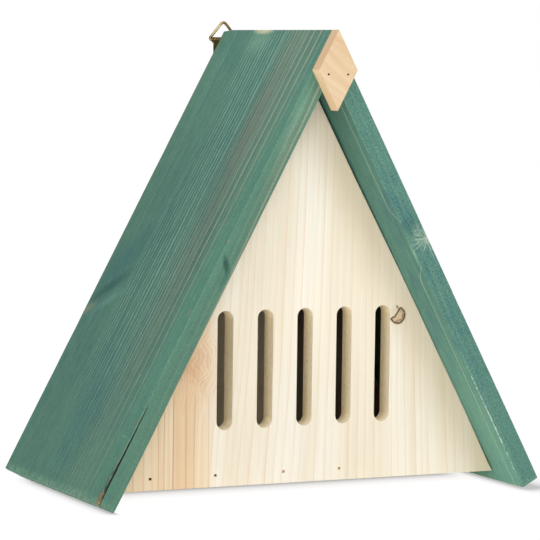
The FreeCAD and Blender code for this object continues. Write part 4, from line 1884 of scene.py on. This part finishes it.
@dataclass
class Studio:
    """Camera, floor and soft light.

    Painted shade on the floor is measured in millimetres: back from the front panel's face for its start and
    fall, and in from the roof's back edge and from the feet for its fading ends. A depth is the most it
    darkens.
    """

    eye: Triple = (-743.16 * MM, -1548.01 * MM, 263.17 * MM)
    yaw: float = math.radians(25.541)
    dip: float = math.radians(4.436)
    roll: float = math.radians(-0.744)
    lens: float = 189.40
    sensor: float = 36.0
    sky: float = 0.36
    bounce: float = 0.38
    clip: Pair = (0.05, 200.0)
    aim: Triple = (0, 0, 0.12)
    lamps: tuple[Lamp, ...] = (
        Lamp("high", (0.3, -1.7, 1.7), 1.2, 17.6),
        Lamp("front", (-0.8, -2.0, 0.6), 0.8, 9.2),
        Lamp("left", (-1.9, -1.1, 1.0), 1.2, 11.2),
    )
    floor_reach: float = 60.0
    floor_white: float = 0.86
    floor_shaded: float = 0.10
    floor_level: float = 0.97
    foot_inset: float = 10.6 * MM
    foot_depth: float = 0.48
    left_foot: FootShade = FootShade(0.7, 3.4, 3.0, 0.0)
    left_fade: Pair = (4.0, -36.0)
    right_foot: FootShade = FootShade(3.6, 10.0, 9.0, 3.0)
    behind_fall: float = 3.0
    under_depth: float = 0.55
    under_start: float = 36.5
    under_fall: float = 9.5
    under_back: float = 35.0
    under_side: float = 24.0

    def camera(self) -> None:
        """Set the camera at the photograph's viewpoint."""
        ahead = Vector((math.sin(self.yaw) * math.cos(self.dip), math.cos(self.yaw) * math.cos(self.dip),
                        -math.sin(self.dip)))
        right = Vector((math.cos(self.yaw), -math.sin(self.yaw), 0))
        down = ahead.cross(right)
        right, down = (right * math.cos(self.roll) + down * math.sin(self.roll),
                       down * math.cos(self.roll) - right * math.sin(self.roll))
        data = bpy.data.cameras.new("camera")
        data.lens = self.lens
        data.sensor_width = self.sensor
        data.clip_start, data.clip_end = self.clip
        camera = new_object("camera", data)
        turn = Matrix((right, -down, -ahead)).transposed().to_4x4()
        camera.matrix_world = Matrix.Translation(self.eye) @ turn
        bpy.context.scene.camera = camera

    def _shown(self, graph: Graph) -> Value:
        """Rays that show the background: from the camera, a mirror or a glass.

        Args:
            graph: Graph of the background or floor.

        Returns:
            1 for such a ray and 0 for any other.
        """
        path = graph.node("ShaderNodeLightPath").outputs
        kinds = ("Is Camera Ray", "Is Glossy Ray", "Is Transmission Ray")
        seen, mirrored, through = (Value(graph, path[kind]) for kind in kinds)
        return graph.math("MAXIMUM", graph.math("MAXIMUM", seen, mirrored), through)

    def sky_light(self) -> None:
        """Even light from all round, with a white background."""
        world = bpy.data.worlds.new("studio")
        world.use_nodes = True
        world.node_tree.nodes.clear()
        graph = Graph(world.node_tree)
        light = graph.value("ShaderNodeBackground", inputs={"Color": grey(1), "Strength": self.sky})
        white = graph.value("ShaderNodeBackground", inputs={"Color": grey(1), "Strength": 1.0})
        both = graph.value("ShaderNodeMixShader", inputs={0: self._shown(graph), 1: light, 2: white})
        graph.node("ShaderNodeOutputWorld", inputs={"Surface": both})
        bpy.context.scene.world = world

    def _painted_floor_shade(self, finish: Finish) -> Value:
        """Painted soft shade on the floor: deep under the house, and round the lines on which its boards
        stand.

        Args:
            finish: Finish of the floor.

        Returns:
            How much each place is darkened.
        """
        graph = finish.graph
        x, y, _ = graph.split(finish.place())
        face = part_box("front_panel")[0].y / MM
        low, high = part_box("left_roof_board")
        front, back = low.y / MM, high.y / MM
        foot = -low.x / MM - self.foot_inset / MM
        under = graph.math("MINIMUM", (y - face - self.under_start) / self.under_fall, 0.0)
        under = graph.math("EXPONENT", under) * graph.rise(y, back, back - self.under_back)
        under = under * graph.rise(abs(x), foot, foot - self.under_side)
        before = graph.math("MAXIMUM", front - y, 0.0)
        behind = graph.math("MAXIMUM", y - back, 0.0) / self.behind_fall
        near = []
        for side, shade in ((Side.LEFT, self.left_foot), (Side.RIGHT, self.right_foot)):
            out = x * side.value - foot
            past = graph.math("MAXIMUM", out - shade.overhang, 0.0) / shade.outward
            beside = graph.math("MAXIMUM", past, out / -shade.inward)
            far = beside * beside + before * before / shade.ahead ** 2 + behind * behind
            near.append(graph.math("EXPONENT", graph.math("SQRT", far) * -1.0))
        left, right = near
        left = left * graph.rise(y, back + self.left_fade[0], back + self.left_fade[1])
        feet = graph.math("MINIMUM", graph.math("MAXIMUM", left, right), self.foot_depth)
        return graph.math("MAXIMUM", under * self.under_depth, feet)

    def floor(self) -> None:
        """White floor: it glows as bounce light onto the house, a dim diffuse part keeps the real shadow, and
        painted shade darkens the glow that is seen.
        """
        finish = Finish("floor_white")
        graph = finish.graph
        matt = graph.value("ShaderNodeBsdfDiffuse", inputs={"Color": grey(self.floor_white)})
        lit = graph.value("ShaderNodeEmission", inputs={"Color": grey(1), "Strength": self.bounce})
        plain = graph.value("ShaderNodeAddShader", inputs={0: matt, 1: lit})
        shaded = graph.value("ShaderNodeBsdfDiffuse", inputs={"Color": grey(self.floor_shaded)})
        # painted shadow: the seen glow is darkened by place, under the house and round its feet
        level = self.floor_level - self._painted_floor_shade(finish)
        varying = graph.join(level, level, level)
        glow = graph.value("ShaderNodeEmission", inputs={"Color": varying, "Strength": 1.0})
        white = graph.value("ShaderNodeAddShader", inputs={0: shaded, 1: glow})
        both = graph.value("ShaderNodeMixShader", inputs={0: self._shown(graph), 1: plain, 2: white})
        graph.node("ShaderNodeOutputMaterial", inputs={"Surface": both})
        reach = self.floor_reach
        mesh = bpy.data.meshes.new("floor")
        mesh.from_pydata([(-reach, -reach, 0), (reach, -reach, 0), (reach, reach, 0), (-reach, reach, 0)],
                         [], [(0, 1, 2, 3)])
        mesh.materials.append(finish.material)
        new_object("floor", mesh)

    def light(self, lamp: Lamp) -> None:
        """Add a lamp that points at the house.

        Args:
            lamp: The lamp.
        """
        data = bpy.data.lights.new(lamp.name, "AREA")
        data.size = lamp.size
        data.energy = lamp.power
        piece = new_object(lamp.name, data)
        piece.location = lamp.place
        piece.rotation_euler = (Vector(self.aim) - Vector(lamp.place)).to_track_quat("-Z", "Y").to_euler()

    def build(self) -> None:
        """Set up the whole studio."""
        self.camera()
        self.sky_light()
        self.floor()
        for lamp in self.lamps:
            self.light(lamp)
        bpy.context.scene.view_settings.view_transform = "Standard"


def main() -> None:
    """Build the house piece by piece."""
    logging.basicConfig(level=logging.INFO, format="%(name)s: %(message)s")
    Studio().build()
    roof = Roof()
    roof.build()
    panels = Panels()
    panels.build()
    Diamond(panels).build()
    Brads(roof).build()
    Hanger().build()
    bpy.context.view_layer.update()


if __name__ == "__main__":
    main()
